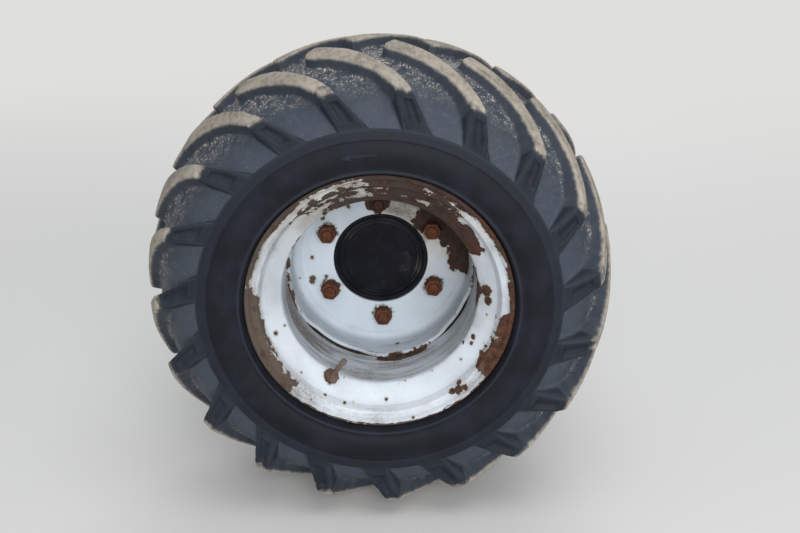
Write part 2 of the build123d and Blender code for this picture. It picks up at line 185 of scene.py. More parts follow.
def dust_group():
    """Where dust holds: in drifts, and more in inner corners than on edges."""
    w, given, out = node_group(
        "Dust", "ShaderNodeTree",
        [("Position", "Vector", None), ("Edge", "Float", 0.0), ("Amount", "Float", 0.4)],
        [("Mask", "Float")],
    )
    drift = w.noise(given["Position"], 60.0, 3)
    fine = w.noise(given["Position"], 2.2, 4, 0.7)
    lain = w.math("ADD", w.math("MULTIPLY", drift, 0.9), w.math("MULTIPLY", fine, 0.35))
    lain = w.math("SUBTRACT", lain, w.math("MULTIPLY", given["Edge"], 0.15))
    middle = w.math("SUBTRACT", 0.95, w.math("MULTIPLY", given["Amount"], 0.5))
    w.feed(out["Mask"], w.step(lain, w.math("SUBTRACT", middle, 0.2), w.math("ADD", middle, 0.2)))
    return w.tree


def scuff_group():
    """Small chips where the paint is off, mostly on edges."""
    w, given, out = node_group(
        "Scuffs", "ShaderNodeTree",
        [("Position", "Vector", None), ("Edge", "Float", 0.0), ("Amount", "Float", 0.5)],
        [("Mask", "Float")],
    )
    flake = w.noise(given["Position"], 9.0, 6, 0.62)
    raised = w.math("ADD", flake, w.math("MULTIPLY", given["Edge"], 0.16))
    limit = w.math("SUBTRACT", 0.86, w.math("MULTIPLY", given["Amount"], 0.22))
    w.feed(out["Mask"], w.step(raised, w.math("SUBTRACT", limit, 0.012), w.math("ADD", limit, 0.012)))
    return w.tree


RUST, DUST, SCUFFS = rust_group(), dust_group(), scuff_group()


def start_material(name):
    """A new material: its wiring, its shader, the position in millimetres and the edge attribute."""
    material = bpy.data.materials.new(name)
    material.use_nodes = True
    w = Wiring(material.node_tree)
    shader = material.node_tree.nodes["Principled BSDF"]
    place = w.add("ShaderNodeTexCoord").outputs["Object"]
    position = w.vector("MULTIPLY", place, (1000.0, 1000.0, 1000.0))
    edge = w.add("ShaderNodeAttribute", attribute_name="edge").outputs["Fac"]
    return material, w, shader, position, edge


def raise_surface(w, shader, height, strength=1.0):
    """Gives the shader its relief from a height in millimetres."""
    bump = w.add("ShaderNodeBump", {"Strength": strength, "Distance": MM, "Height": height})
    w.feed(shader.inputs["Normal"], bump.outputs["Normal"])


def joint_faces(w, position):
    """Where the arm is machined bare: the flange's inner face with its spigot, and the pad's top."""
    parts = w.add("ShaderNodeSeparateXYZ", {"Vector": position}).outputs
    flange = w.step(parts["Y"], FLANGE_FACE - 0.3, FLANGE_FACE + 0.3)
    pad = w.step(parts["Z"], pad_top - PAD_FACE - 0.3, pad_top - PAD_FACE + 0.3)
    beside_flange = w.math("LESS_THAN", parts["Y"], pad_middle * 0.4)
    return w.largest(flange, w.math("MULTIPLY", pad, beside_flange))


def black_paint(name, colour, roughness, gloss, dust, scuffs, grain_size, grain_height, machined=False):
    """Black paint on cast steel, with dust on it and rust where it is chipped."""
    material, w, shader, position, edge = start_material(name)
    shader.inputs["Specular IOR Level"].default_value = gloss
    rust = w.group(RUST, {"Position": position, "Redness": 0.22})
    chipped = w.group(SCUFFS, {"Position": position, "Edge": edge, "Amount": scuffs})["Mask"]
    dusty = w.group(DUST, {"Position": position, "Edge": edge, "Amount": dust})["Mask"]
    shade = w.mix(w.step(w.noise(position, 34.0, 4), 0.35, 0.7), colour, [c * 1.7 for c in colour[:3]] + [1])
    painted = w.mix(w.math("MULTIPLY", dusty, 0.6), shade, ROAD_DUST)
    painted = w.mix(w.step(w.noise(position, 1.7, 2, 0.6), 0.69, 0.76, 0.3), painted, ROAD_DUST)
    finish = w.mix(chipped, painted, rust["Colour"])
    worn = w.math("MAXIMUM", w.math("MULTIPLY", dusty, 0.9), chipped)
    if machined:
        bare = joint_faces(w, position)
        bloom = w.step(w.noise(position, 30.0, 6, 0.68), 0.47, 0.62, 0.85)
        steel = w.mix(w.step(w.noise(position, 9.0, 4), 0.3, 0.8, 0.6), MACHINED_STEEL, ROAD_DUST)
        finish = w.mix(bare, finish, w.mix(bloom, steel, rust["Colour"]))
        worn = w.math("MULTIPLY", worn, w.math("SUBTRACT", 1.0, bare))
        worn = w.math("MAXIMUM", worn, w.math("MULTIPLY", bare, w.math("MULTIPLY", bloom, 0.8)))
        w.feed(shader.inputs["Metallic"], w.math("MULTIPLY", bare, w.math("SUBTRACT", 1.0, bloom)))
    w.feed(shader.inputs["Base Color"], finish)
    w.feed(shader.inputs["Roughness"], w.math("ADD", roughness, w.math("MULTIPLY", worn, 0.9 - roughness)))
    grain = w.math("MULTIPLY", w.noise(position, grain_size, 4, 0.6), grain_height)
    deep = w.math("MULTIPLY", chipped, w.math("SUBTRACT", w.math("MULTIPLY", rust["Height"], 0.4), 0.4))
    raise_surface(w, shader, w.math("ADD", grain, deep))
    return material


def make_piece(name, form, material, body, smooth_angle=38.0):
    """Turns a bmesh into a piece of the object that rides on a body."""
    mesh = bpy.data.meshes.new(name)
    form.to_mesh(mesh)
    form.free()
    return dress_piece(name, mesh, material, body, smooth_angle)


def dress_piece(name, mesh, material, body, smooth_angle=38.0):
    mesh.materials.clear()
    mesh.materials.append(material)
    mesh.shade_smooth()
    if smooth_angle:
        mesh.set_sharp_from_angle(angle=math.radians(smooth_angle))
    piece = bpy.data.objects.new(name, mesh)
    scene.collection.objects.link(piece)
    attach(piece, body)
    return piece


def softened(node, width, name, material, body):
    """A node's own form with its sharp edges rounded, in place of the node."""
    form = bmesh.new()
    form.from_mesh(frame["nodes"][node].data)
    bmesh.ops.remove_doubles(form, verts=form.verts, dist=1e-5)
    edge_layer = form.verts.layers.float.new("edge")
    sharp = [e for e in form.edges if len(e.link_faces) == 2 and e.calc_face_angle() > math.radians(32)]
    cut = bmesh.ops.bevel(form, geom=sharp, offset=width * MM, segments=2, affect="EDGES", profile=0.5,
                          clamp_overlap=True)
    for vertex in cut["verts"]:
        vertex[edge_layer] = 1.0
    piece = make_piece(name, form, material, body)
    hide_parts(node)
    return piece


ARM_PAINT = black_paint("Axle arm paint", ARM_BLACK, 0.42, 0.3, 0.55, 0.46, 3.2, 0.22, machined=True)
softened("axle_arm", ARM_EDGE, "Axle_arm_casting", ARM_PAINT, "axle")


# Oil plug
# A forged hex plug in its boss on the neck, for the final drive's oil. It is plated steel that has
# gone dull, with rust starting in the tool marks.
PLUG_STEEL = (0.32, 0.31, 0.29, 1)
SHAFT_STEEL = (0.36, 0.36, 0.37, 1)


def plain_steel(name, colour, roughness, rust_share, groove_size):
    """Machined steel with a fine lay, and rust where it has started."""
    material, w, shader, position, edge = start_material(name)
    rust = w.group(RUST, {"Position": position, "Redness": 0.5})
    started = w.group(SCUFFS, {"Position": position, "Edge": edge, "Amount": rust_share})["Mask"]
    stained = w.step(w.noise(position, 18.0, 5), 0.38, 0.72)
    shade = w.mix(w.math("MULTIPLY", stained, 0.5), colour, [c * 0.45 for c in colour[:3]] + [1])
    w.feed(shader.inputs["Base Color"], w.mix(started, shade, rust["Colour"]))
    w.feed(shader.inputs["Metallic"], w.math("SUBTRACT", 1.0, started))
    rough = w.math("ADD", roughness, w.math("MULTIPLY", stained, 0.2))
    w.feed(shader.inputs["Roughness"], w.math("ADD", rough, w.math("MULTIPLY", started, 0.4), clamp=True))
    lay = w.math("MULTIPLY", w.noise(w.vector("MULTIPLY", position, (1.0, 6.0, 1.0)), groove_size, 3), 0.06)
    raise_surface(w, shader, w.math("ADD", lay, w.math("MULTIPLY", started, rust["Height"])))
    return material


PLUG_FINISH = plain_steel("Dull plated steel", PLUG_STEEL, 0.42, 0.85, 2.0)
softened("oil_plug", 1.0, "Oil_plug_head", PLUG_FINISH, "axle")


# Half shaft
# The forged bar that drives the hub. Its splined end stands out of the arm's flange, ready for the
# gear in the centre housing, and is bright from machining with a film of oil.
SHAFT_FINISH = plain_steel("Oiled shaft steel", SHAFT_STEEL, 0.25, 0.2, 1.4)
softened("half_shaft", 0.3, "Half_shaft_bar", SHAFT_FINISH, "drive")


# Hub
# A turned iron casting that runs on the spindle. Its pilot centres the disc, its flange takes the
# studs, and the drum behind holds the gears. It is painted satin black with the axle.
HUB_BLACK = (0.0055, 0.0060, 0.0085, 1)
hub_low, hub_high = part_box("hub")
disc_low, disc_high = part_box("wheel_disc")
cover_low, cover_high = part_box("hub_cover")


def inward(place):
    """A place along Y as the distance inward from the wheel's middle, in millimetres."""
    return (place - WHEEL_PLANE) / MM


HUB_FACE = inward(hub_low.y)
DRUM_END = inward(hub_high.y)
HUB_SEAT = inward(disc_high.y)
HUB_RADIUS = hub_high.x / MM
COVER_RADIUS = cover_high.x / MM
COVER_FLOOR = inward(cover_high.y)
PILOT_RADIUS = 80.3
DRUM_RADIUS = 87.0
HUB_FLANGE_SHEET = 17.0
SPINDLE_BORE = 62.05
BORE_FLOOR = 65.0


def rounded(outline, steps=4):
    """The points of a closed outline of (radius, inward, rounding), as (radius, inward, edge).

    Edge is 1 on a rounded corner that stands out, and -1 in one that goes in."""
    area = sum(a[0] * b[1] - b[0] * a[1] for a, b in zip(outline, outline[1:] + outline[:1]))
    points = []
    for index, (radius, along, rounding) in enumerate(outline):
        here = Vector((radius, along))
        if not rounding:
            points.append((radius, along, 0.0))
            continue
        back = Vector(outline[index - 1][:2]) - here
        ahead = Vector(outline[(index + 1) % len(outline)][:2]) - here
        reach = min(rounding / math.tan(back.angle(ahead) / 2), 0.42 * back.length, 0.42 * ahead.length)
        side = 1.0 if (back.x * ahead.y - back.y * ahead.x) * area < 0 else -1.0
        guard = min(reach + 2.5, 0.48 * back.length)
        points.append((*(here + back.normalized() * guard), 0.0))
        for number in range(steps + 1):
            share = number / steps
            start, end = here + back.normalized() * reach, here + ahead.normalized() * reach
            bent = start * (1 - share) ** 2 + here * 2 * share * (1 - share) + end * share**2
            points.append((*bent, side))
        guard = min(reach + 2.5, 0.48 * ahead.length)
        points.append((*(here + ahead.normalized() * guard), 0.0))
    return points


def turned(points, sides, place=None, across_flats=None):
    """A closed form turned about the Y axis from (radius, along, edge) points, in millimetres.

    Across_flats cuts the round to a hexagon of that size."""
    form = bmesh.new()
    edge_layer = form.verts.layers.float.new("edge")
    rings = []
    for radius, along, edge in points:
        ring = []
        for number in range(1 if radius < 0.01 else sides):
            angle = 2 * math.pi * number / sides
            reach = radius
            if across_flats:
                off_flat = (angle + math.pi / 6) % (math.pi / 3) - math.pi / 6
                reach = min(radius, across_flats / 2 / math.cos(off_flat))
            vertex = form.verts.new((reach * math.cos(angle) * MM, along * MM, reach * math.sin(angle) * MM))
            vertex[edge_layer] = edge
            ring.append(vertex)
        rings.append(ring)
    for ring, following in zip(rings, rings[1:] + rings[:1]):
        if len(ring) == 1 and len(following) == 1:
            continue
        for number in range(sides):
            corners = [ring[number % len(ring)], ring[(number + 1) % len(ring)]]
            corners += [following[(number + 1) % len(following)], following[number % len(following)]]
            form.faces.new(list(dict.fromkeys(corners)))
    bmesh.ops.remove_doubles(form, verts=form.verts, dist=1e-6)
    bmesh.ops.recalc_face_normals(form, faces=form.faces)
    form.transform(place or Matrix.Translation((0, WHEEL_PLANE, 0)))
    return form


HUB_PAINT = black_paint("Hub paint", HUB_BLACK, 0.34, 0.09, 0.04, 0.12, 2.6, 0.10)
hub_outline = [
    (0, COVER_FLOOR, 0),
    (COVER_RADIUS + 0.2, COVER_FLOOR, 0),
    (COVER_RADIUS + 0.2, HUB_FACE, 0.8),
    (PILOT_RADIUS, HUB_FACE, 1.2),
    (PILOT_RADIUS, HUB_SEAT, 0),
    (HUB_RADIUS, HUB_SEAT, 1.5),
    (HUB_RADIUS, HUB_SEAT + HUB_FLANGE_SHEET, 3.0),
    (DRUM_RADIUS + 6.0, HUB_SEAT + HUB_FLANGE_SHEET, 5.0),
    (DRUM_RADIUS, HUB_SEAT + HUB_FLANGE_SHEET + 14.0, 8.0),
    (DRUM_RADIUS, DRUM_END - 14.0, 0.8),
    (DRUM_RADIUS - 2.5, DRUM_END - 13.0, 0.8),
    (DRUM_RADIUS - 2.5, DRUM_END - 6.0, 0.8),
    (DRUM_RADIUS - 6.0, DRUM_END, 2.0),
    (SPINDLE_BORE, DRUM_END, 1.0),
    (SPINDLE_BORE, BORE_FLOOR, 0),
    (0, BORE_FLOOR, 0),
]
hub = make_piece("Hub_casting", turned(rounded(hub_outline), 128), HUB_PAINT, "wheel")
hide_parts("hub")


# Hub cover
# A pressed steel plate let into the hub's face. A thin raised edge runs round it, then a groove, and
# the flat middle sits a little deeper. It is painted with the hub and carries fine dust.
COVER_FACE = inward(cover_low.y)
COVER_MIDDLE = 61.0
COVER_PAINT = black_paint("Hub cover paint", HUB_BLACK, 0.40, 0.07, 0.14, 0.0, 1.3, 0.08)
cover_outline = [
    (0, COVER_FACE + 2.6, 0),
    (COVER_MIDDLE, COVER_FACE + 2.4, 1.2),
    (COVER_MIDDLE + 2.0, COVER_FACE + 3.6, 0.8),
    (COVER_RADIUS - 3.4, COVER_FACE + 4.4, 0.8),
    (COVER_RADIUS - 2.0, COVER_FACE, 0.7),
    (COVER_RADIUS, COVER_FACE, 0.7),
    (COVER_RADIUS, COVER_FLOOR, 0),
    (0, COVER_FLOOR, 0),
]
cover = make_piece("Hub_cover_plate", turned(rounded(cover_outline), 128), COVER_PAINT, "wheel")
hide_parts("hub_cover")


# Wheel disc
# A dished plate pressed from 10 mm steel. Its skirt turns outward and is welded into the rim's well.
# It was painted pale grey over primer, and rust has lifted the paint at the top and round the nuts; the rust at the top
# is darkened with painted shade.
# The disc's pale grey leans blue: partly its paint, partly a painted reflection of the sky.
DISC_GREY = (0.580, 0.650, 0.715, 1)
DISC_SHADE = (0.520, 0.590, 0.660, 1)
RIM_PRIMER = (0.47, 0.42, 0.33, 1)
AGED_CREAM = (0.600, 0.540, 0.430, 1)
# A dirt colour, also used for painted shade on the pale paint.
RIM_DIRT_AND_SHADE = (0.115, 0.090, 0.068, 1)
CAKED_DIRT = (0.088, 0.072, 0.058, 1)
DISC_FACE = inward(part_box("wheel_nuts")[1].y)
DISC_RADIUS = disc_high.x / MM
SKIRT_EDGE = inward(disc_low.y)
SKIRT_SHEET = 6.0
PILOT_BORE = 80.5
STUD_CIRCLE = 102.5
NUT_FIRST = 32.0
NUT_COUNT = 6


def wheel_place_group():
    """A position in millimetres as the radius, the angle from +X and the distance inward."""
    w, given, out = node_group(
        "Wheel place", "ShaderNodeTree",
        [("Position", "Vector", None)],
        [("Radius", "Float"), ("Angle", "Float"), ("Inward", "Float")],
    )
    parts = w.add("ShaderNodeSeparateXYZ", {"Vector": given["Position"]}).outputs
    w.feed(out["Radius"], w.math("SQRT", w.math("ADD", w.math("POWER", parts["X"], 2.0),
                                                w.math("POWER", parts["Z"], 2.0))))
    w.feed(out["Angle"], w.math("MULTIPLY", w.math("ARCTAN2", parts["Z"], parts["X"]), 180.0 / math.pi))
    w.feed(out["Inward"], w.math("SUBTRACT", parts["Y"], WHEEL_PLANE / MM))
    return w.tree


PATCH_ROW = ("Inner", "Outer", "Front", "Back", "Middle", "Half", "Ragged")
PATCH_TAPER = 7.0


def patch_group():
    """How far inside a patch of the wheel a place is, in millimetres. Outside it is below zero."""
    w, given, out = node_group(
        "Patch", "ShaderNodeTree",
        [(label, "Float", 0.0) for label in
         ("Radius", "Angle", "Inward", "Noise", *PATCH_ROW)],
        [("Depth", "Float")],
    )
    turn = w.math("WRAP", w.math("SUBTRACT", given["Angle"], given["Middle"]), 180.0, -180.0)
    share = w.math("DIVIDE", w.math("ABSOLUTE", turn), given["Half"])
    spare = w.math("SUBTRACT", 1.0, share)
    depth = w.math("MULTIPLY", w.math("MULTIPLY", spare, given["Half"]), w.math("MULTIPLY", given["Radius"],
                                                                               math.pi / 180.0))
    for low, high in (("Inner", "Radius"), ("Radius", "Outer"), ("Front", "Inward"), ("Inward", "Back")):
        depth = w.math("MINIMUM", depth, w.math("SUBTRACT", given[high], given[low]))
    depth = w.math("SUBTRACT", depth, w.math("MULTIPLY", w.math("POWER", share, 3.0), PATCH_TAPER))
    w.feed(out["Depth"], w.math("ADD", depth, w.math("MULTIPLY", given["Noise"], given["Ragged"])))
    return w.tree


def spot_group():
    """How far inside a round spot a place is, in millimetres."""
    w, given, out = node_group(
        "Spot", "ShaderNodeTree",
        [("Position", "Vector", None), ("Centre", "Vector", None), ("Size", "Float", 4.0)],
        [("Depth", "Float")],
    )
    off = w.vector("LENGTH", w.vector("SUBTRACT", given["Position"], given["Centre"]), output=1)
    w.feed(out["Depth"], w.math("SUBTRACT", given["Size"], off))
    return w.tree


WHEEL_PLACE, PATCH, SPOT = wheel_place_group(), patch_group(), spot_group()


def wheel_point(radius, angle, along):
    """A point of the wheel in millimetres, from its radius, angle in degrees and distance inward."""
    turn = math.radians(angle)
    return Vector((radius * math.cos(turn), WHEEL_PLANE / MM + along, radius * math.sin(turn)))


def peeling_paint(name, colours, patches, spots, dirt, chips, caked_side, shaded_side, redness):
    """Pale paint that has peeled from rusty steel.

    Patches and dirt are rows of (inner radius, outer radius, front, back, middle angle, half angle,
    raggedness), with front and back as distances inward. Spots are rows of (radius, angle, inward,
    size). The rust is caked with dirt on one side of the wheel, at an angle, and darkened with painted shade on
    another."""
    material, w, shader, position, edge = start_material(name)
    shader.inputs["Specular IOR Level"].default_value = 0.3
    place = w.group(WHEEL_PLACE, {"Position": position})
    broad = w.math("MULTIPLY", w.math("SUBTRACT", w.noise(position, 24.0, 4, 0.6), 0.5), 3.0)
    crumbs = w.math("SUBTRACT", w.noise(position, 5.0, 5, 0.65), 0.5)
    ragged = w.math("ADD", broad, w.math("MULTIPLY", crumbs, 0.8))

    def depth_in(rows):
        found = []
        for row in rows:
            named = dict(zip(PATCH_ROW, row), Noise=ragged)
            named.update({label: place[label] for label in ("Radius", "Angle", "Inward")})
            found.append(w.group(PATCH, named)["Depth"])
        return w.largest(*found)

    along_rim = w.add("ShaderNodeCombineXYZ", {
        "X": w.math("MULTIPLY", w.math("COSINE", w.math("RADIANS", place["Angle"])), 22.0),
        "Y": w.math("ADD", place["Inward"], place["Radius"]),
        "Z": w.math("MULTIPLY", w.math("SINE", w.math("RADIANS", place["Angle"])), 22.0),
    }).outputs[0]
    long_flakes = w.math("MULTIPLY", w.noise(along_rim, 8.0, 5, 0.62), 0.6)
    islands = w.math("ADD", w.math("MULTIPLY", w.noise(position, 9.0, 6, 0.62), 0.4), long_flakes)
    rusted = w.math("SUBTRACT", depth_in(patches), w.step(islands, 0.50, 0.60, 5.5))
    for radius, angle, along, size in spots:
        spot = w.group(SPOT, {"Position": position, "Centre": wheel_point(radius, angle, along), "Size": size})
        rusted = w.math("MAXIMUM", rusted, w.math("ADD", spot["Depth"], w.math("MULTIPLY", crumbs, size * 1.7)))
    flakes = w.math("SUBTRACT", w.noise(position, 13.0, 7, 0.66), 0.735 - chips)
    flakes = w.math("ADD", flakes, w.math("MULTIPLY", w.math("MAXIMUM", edge, 0.0), 0.07))
    rusted = w.math("MAXIMUM", rusted, w.math("MULTIPLY", flakes, 60.0))
    bare = w.step(rusted, -0.2, 0.3)
    streaks = w.step(w.noise(along_rim, 13.0, 4, 0.58), 0.38, 0.62)
    specks = w.step(w.noise(position, 3.5, 6, 0.75), 0.30, 0.62)
    rust = w.group(RUST, {"Position": position, "Redness": redness})
    dusty = w.group(DUST, {"Position": position, "Edge": edge, "Amount": 0.4})["Mask"]
    # Depth into the dirt rows; some rows stand for painted shade as well as dirt.
    dirt_and_shade_depth = depth_in(dirt)
    streaky = w.math("ADD", 0.26, w.math("MULTIPLY", streaks, 0.62))
    thick = w.math("ADD", streaky, w.step(dirt_and_shade_depth, 16.0, 34.0, 0.4), clamp=True)
    caked = w.math("MULTIPLY", w.step(dirt_and_shade_depth, -14.0, 14.0), thick)
    corner = w.math("MULTIPLY", w.math("MAXIMUM", w.math("MULTIPLY", edge, -1.0), 0.0), 0.08)
    paint = w.mix(w.step(w.noise(position, 70.0, 5), 0.35, 0.7), *colours)
    # How far a place faces the shaded side of the wheel, where painted shade falls.
    toward_shade = w.math("COSINE", w.math("RADIANS", w.math("SUBTRACT", place["Angle"], shaded_side)))
    yellowed = w.math("MULTIPLY", w.step(toward_shade, 0.35, 0.95, 0.6), w.step(w.noise(position, 14.0, 4), 0.30, 0.55))
    paint = w.mix(yellowed, paint, AGED_CREAM)
    # Painted shade: the paint darkens away from the wheel's bottom, towards its sides and top.
    painted_side_shade = w.math("MULTIPLY", w.step(toward_shade, -0.8, 0.15, 0.2), w.math("ADD", 0.5, w.noise(position, 30.0, 4)))
    paint = w.mix(painted_side_shade, paint, RIM_DIRT_AND_SHADE)
    primer = w.math("MULTIPLY", w.step(rusted, -2.8, -0.3), w.step(w.noise(position, 9.0, 4), 0.38, 0.55))
    paint = w.mix(w.math("MULTIPLY", primer, 0.7), paint, RIM_PRIMER)
    # Soiled paint: dirt by the rust, the dirt rows with their painted shade, and inner corners.
    soiled_and_shaded = w.largest(w.math("MULTIPLY", w.step(rusted, -4.5, 1.0), 0.3), caked, corner)
    soiled_and_shaded = w.math("MULTIPLY", soiled_and_shaded, w.math("ADD", 0.45, w.math("MULTIPLY", specks, 0.55)))
    paint = w.mix(soiled_and_shaded, paint, RIM_DIRT_AND_SHADE)
    paint = w.mix(w.math("MULTIPLY", dusty, 0.12), paint, ROAD_DUST)
    paint = w.mix(w.math("MULTIPLY", w.step(w.noise(position, 1.5, 3, 0.8), 0.68, 0.75), 0.4), paint, RIM_DIRT_AND_SHADE)

    def towards(angle, share):
        side = w.math("COSINE", w.math("RADIANS", w.math("SUBTRACT", place["Angle"], angle)))
        lumpy = w.math("SUBTRACT", w.math("MULTIPLY", w.noise(position, 22.0, 5, 0.7), 2.2), 0.4)
        return w.math("ADD", w.math("MULTIPLY", side, share), lumpy)

    crust = w.mix(w.step(towards(caked_side, 0.3), 0.40, 1.0, 0.85), rust["Colour"], CAKED_DIRT)
    # Painted shade: the rust darkens towards the shaded side of the wheel.
    crust = w.mix(w.step(towards(shaded_side, 0.6), 0.6, 1.5, 0.62), crust, RUST_AND_SHADE_DARK)
    w.feed(shader.inputs["Base Color"], w.mix(bare, paint, crust))
    rough = w.math("ADD", 0.34, w.math("MULTIPLY", w.largest(soiled_and_shaded, dusty), 0.3))
    w.feed(shader.inputs["Roughness"], w.math("ADD", rough, w.math("MULTIPLY", bare, 0.35), clamp=True))
    sheet = w.math("MULTIPLY", w.noise(position, 5.0, 2), 0.05)
    lifted = w.math("MULTIPLY", w.math("SUBTRACT", w.step(rusted, -1.6, -0.2), bare), 0.22)
    sunk = w.math("MULTIPLY", bare, w.math("SUBTRACT", w.math("MULTIPLY", rust["Height"], 0.7), 0.5))
    raise_surface(w, shader, w.math("ADD", w.math("ADD", sheet, lifted), sunk))
    return material


disc_outline = [
    (PILOT_BORE, DISC_FACE, 1.2),
    (DISC_RADIUS - SKIRT_SHEET, DISC_FACE, 13.0),
    (DISC_RADIUS - SKIRT_SHEET, SKIRT_EDGE, 1.6),
    (DISC_RADIUS, SKIRT_EDGE, 1.6),
    (DISC_RADIUS, HUB_SEAT, 14.0),
    (PILOT_BORE, HUB_SEAT, 0.8),
]
disc_patches = [
    (79, 94, 20, 40, 93, 6.0, 3),
    (90, 132, 20, 40, 93, 14, 6),
    (113, 160, 5, 40, 103, 22, 12),
    (79, 160, 5, 40, 43, 13, 7),
    (100, 160, 5, 40, 26, 18, 8),
    (114, 160, 5, 40, 16, 28, 8),
    (140, 160, -45, 10, 46, 28, 8),
]
disc_spots = [
    (117, 179, 28, 3.0), (122.5, 197, 28, 5.4), (125, 199.5, 28, 5.0), (99, 199, 28, 2.8), (123, 143, 28, 4.6),
    (108, 120, 28, 3.4), (144, 194, 28, 2.2), (146, 205, 20, 2.2), (150, 281, 0, 3.6), (112, 75, 28, 2.4),
]
disc_spots += [
    (STUD_CIRCLE, NUT_FIRST + 360.0 / NUT_COUNT * number, DISC_FACE, 15.8) for number in range(NUT_COUNT)
]
disc_dirt_and_shade = [
    (79, 160, 0, 40, 58, 36, 14),
    (146, 160, -40, 20, 25, 40, 12),
    # Painted shade: the skirt's lower part, where the rim round it shades it.
    (148.5, 160, -45, 4, 262, 84, 6),
]
# The runs where the skirt's edge stands off the well: first and last angle, and how far
GAP_RUNS = [(216, 264, 4.6), (310, 346, 3.2)]
DISC_PAINT = peeling_paint("Peeling disc paint", (DISC_GREY, DISC_SHADE), disc_patches, disc_spots, disc_dirt_and_shade,
                           0.0, 200, 45, 0.12)
disc_form = turned(rounded(disc_outline, 6), 160)
for vertex in disc_form.verts:
    angle = math.degrees(math.atan2(vertex.co.z, vertex.co.x)) % 360
    gap = max(min(angle - start, end - angle, 8.0) / 8.0 * depth for start, end, depth in GAP_RUNS)
    if gap > 0 and math.hypot(vertex.co.x, vertex.co.z) > (DISC_RADIUS - SKIRT_SHEET - 1) * MM:
        lift = gap * min(max((HUB_SEAT - 30 - inward(vertex.co.y)) / 30, 0.0), 1.0)
        shrink = 1 - lift / DISC_RADIUS
        vertex.co.x *= shrink
        vertex.co.z *= shrink
disc = make_piece("Wheel_disc_plate", disc_form, DISC_PAINT, "wheel")
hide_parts("wheel_disc")


# Rim
# Rolled from 6 mm steel sheet: a turned lip, a flange, the seat for the tyre's bead, a slope and the
# deep well between. It has the disc's paint, and its upper half has gone to brown rust, darkened with painted shade.
rim_low, rim_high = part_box("rim")
LIP_RADIUS = rim_high.x / MM
LIP_WIDTH = inward(rim_high.y)
HALF_SPAN = 165.1
BEAD_RADIUS = 190.5
SLOPE_HEAD = 157.0
SLOPE_FOOT = 131.0
WELL_RADIUS = 156.0
RIM_SHEET = 6.0
tyre_side = [
    (LIP_RADIUS, LIP_WIDTH, 2.2),
    (LIP_RADIUS, HALF_SPAN + RIM_SHEET, 3.5),
    (LIP_RADIUS - RIM_SHEET, HALF_SPAN, 4.0),
    (BEAD_RADIUS, HALF_SPAN, 3.0),
    (BEAD_RADIUS, SLOPE_HEAD - 2.6, 5.0),
    (WELL_RADIUS + RIM_SHEET, SLOPE_FOOT - 2.6, 8.0),
]
open_side = [
    (LIP_RADIUS - RIM_SHEET, LIP_WIDTH, 2.2),
    (LIP_RADIUS - RIM_SHEET - 4.0, HALF_SPAN + RIM_SHEET + 1.5, 5.0),
    (BEAD_RADIUS, HALF_SPAN + RIM_SHEET - 2.0, 2.2),
    (BEAD_RADIUS - RIM_SHEET, SLOPE_HEAD, 4.0),
    (WELL_RADIUS, SLOPE_FOOT, 9.0),
]


def outer_half(outline):
    return [(radius, -along, rounding) for radius, along, rounding in outline]


rim_outline = outer_half(tyre_side) + tyre_side[::-1] + open_side + outer_half(open_side)[::-1]
RIM_GREY = (0.640, 0.700, 0.760, 1)
RIM_SHADE = (0.560, 0.610, 0.665, 1)
rim_patches = [
    (203, 225, -190, -168, 105, 75, 4),
    (202, 225, -190, -168, 168, 30, 4),
    (206.5, 225, -190, -172, 280, 110, 3.5),
    (192, 225, -190, -164, 84, 15, 9),
    (197, 225, -190, -164, 52, 20, 7),
    (182, 198, -174, -152, 92, 46, 7),
    (200, 225, -190, -162, 140, 15, 7),
    (198, 225, -190, -164, 182, 12, 9),
    (186, 225, -190, -160, 201, 27, 8),
    (188, 225, -190, -160, 347, 10, 12),
    (184, 225, -190, -158, 333, 11, 12),
    (202, 225, -190, -166, 15, 40, 5),
    (171, 188, -160, -140, 84, 46, 8),
    (150, 173, -146, -100, 88, 38, 9),
    (145, 187, -158, -60, 45, 22, 12),
    (145, 165, -132, -40, 80, 80, 14),
    (145, 165, -132, -92, 6, 18, 9),
    (145, 165, -52, -20, 284, 18, 6),
    # Painted shade: near-black rust on the well all round, behind the skirt's edge, where the gap under the skirt is
    # dark.
    (145, 170, -33.5, 90, 0, 900, 2),
    (203, 225, 168, 190, 250, 130, 6),
    (180, 225, 150, 190, 300, 16, 10),
]
rim_spots = [
    (176, 199.7, -149.4, 3.8), (161, 198.7, -135.7, 1.6), (186, 241.4, -160, 2.2), (187, 252, -161, 3.0),
    (177, 273, -150.6, 2.4), (168, 3.5, -142, 9.5), (171, 358, -144, 7.5), (165, 334.4, -139.2, 4.4),
    (167, 331, -141, 3.2), (194, 310, -172.8, 7.5), (190, 307, -170.4, 6.0), (197, 313, -174.4, 5.5),
    (188, 312, -164, 4.5), (172, 350, -145, 1.6), (183, 256, -158, 1.5), (180, 225, -152, 1.6),
    (170, 320, -142, 1.8), (203, 285, -177, 2.4), (198, 236, -174, 2.4), (163, 240.3, -137.5, 11.5),
]
rim_dirt_and_shade = [
    (110, 200, -114, -32, 214, 36, 10),
    (135, 162, -136, -20, 2, 34, 8),
    (135, 180, -80, -26, 288, 24, 8),
    # Dirt and painted shade: the lower well.
    (146, 162, -128, -36, 270, 70, 4),
    # Dirt and painted shade: the upper well.
    (150, 186, -156, 0, 90, 50, 14),
    (186, 215, -180, -150, 120, 95, 12),
    (186, 190, -168, -152, 270, 95, 4),
    (190, 220, -185, -166, 270, 95, 10),
    (140, 176, 60, 140, 270, 80, 8),
    (180, 220, 150, 190, 120, 60, 10),
]
RIM_PAINT = peeling_paint("Peeling rim paint", (RIM_GREY, RIM_SHADE), rim_patches, rim_spots, rim_dirt_and_shade,
                          0.004, 180, 88, 0.45)
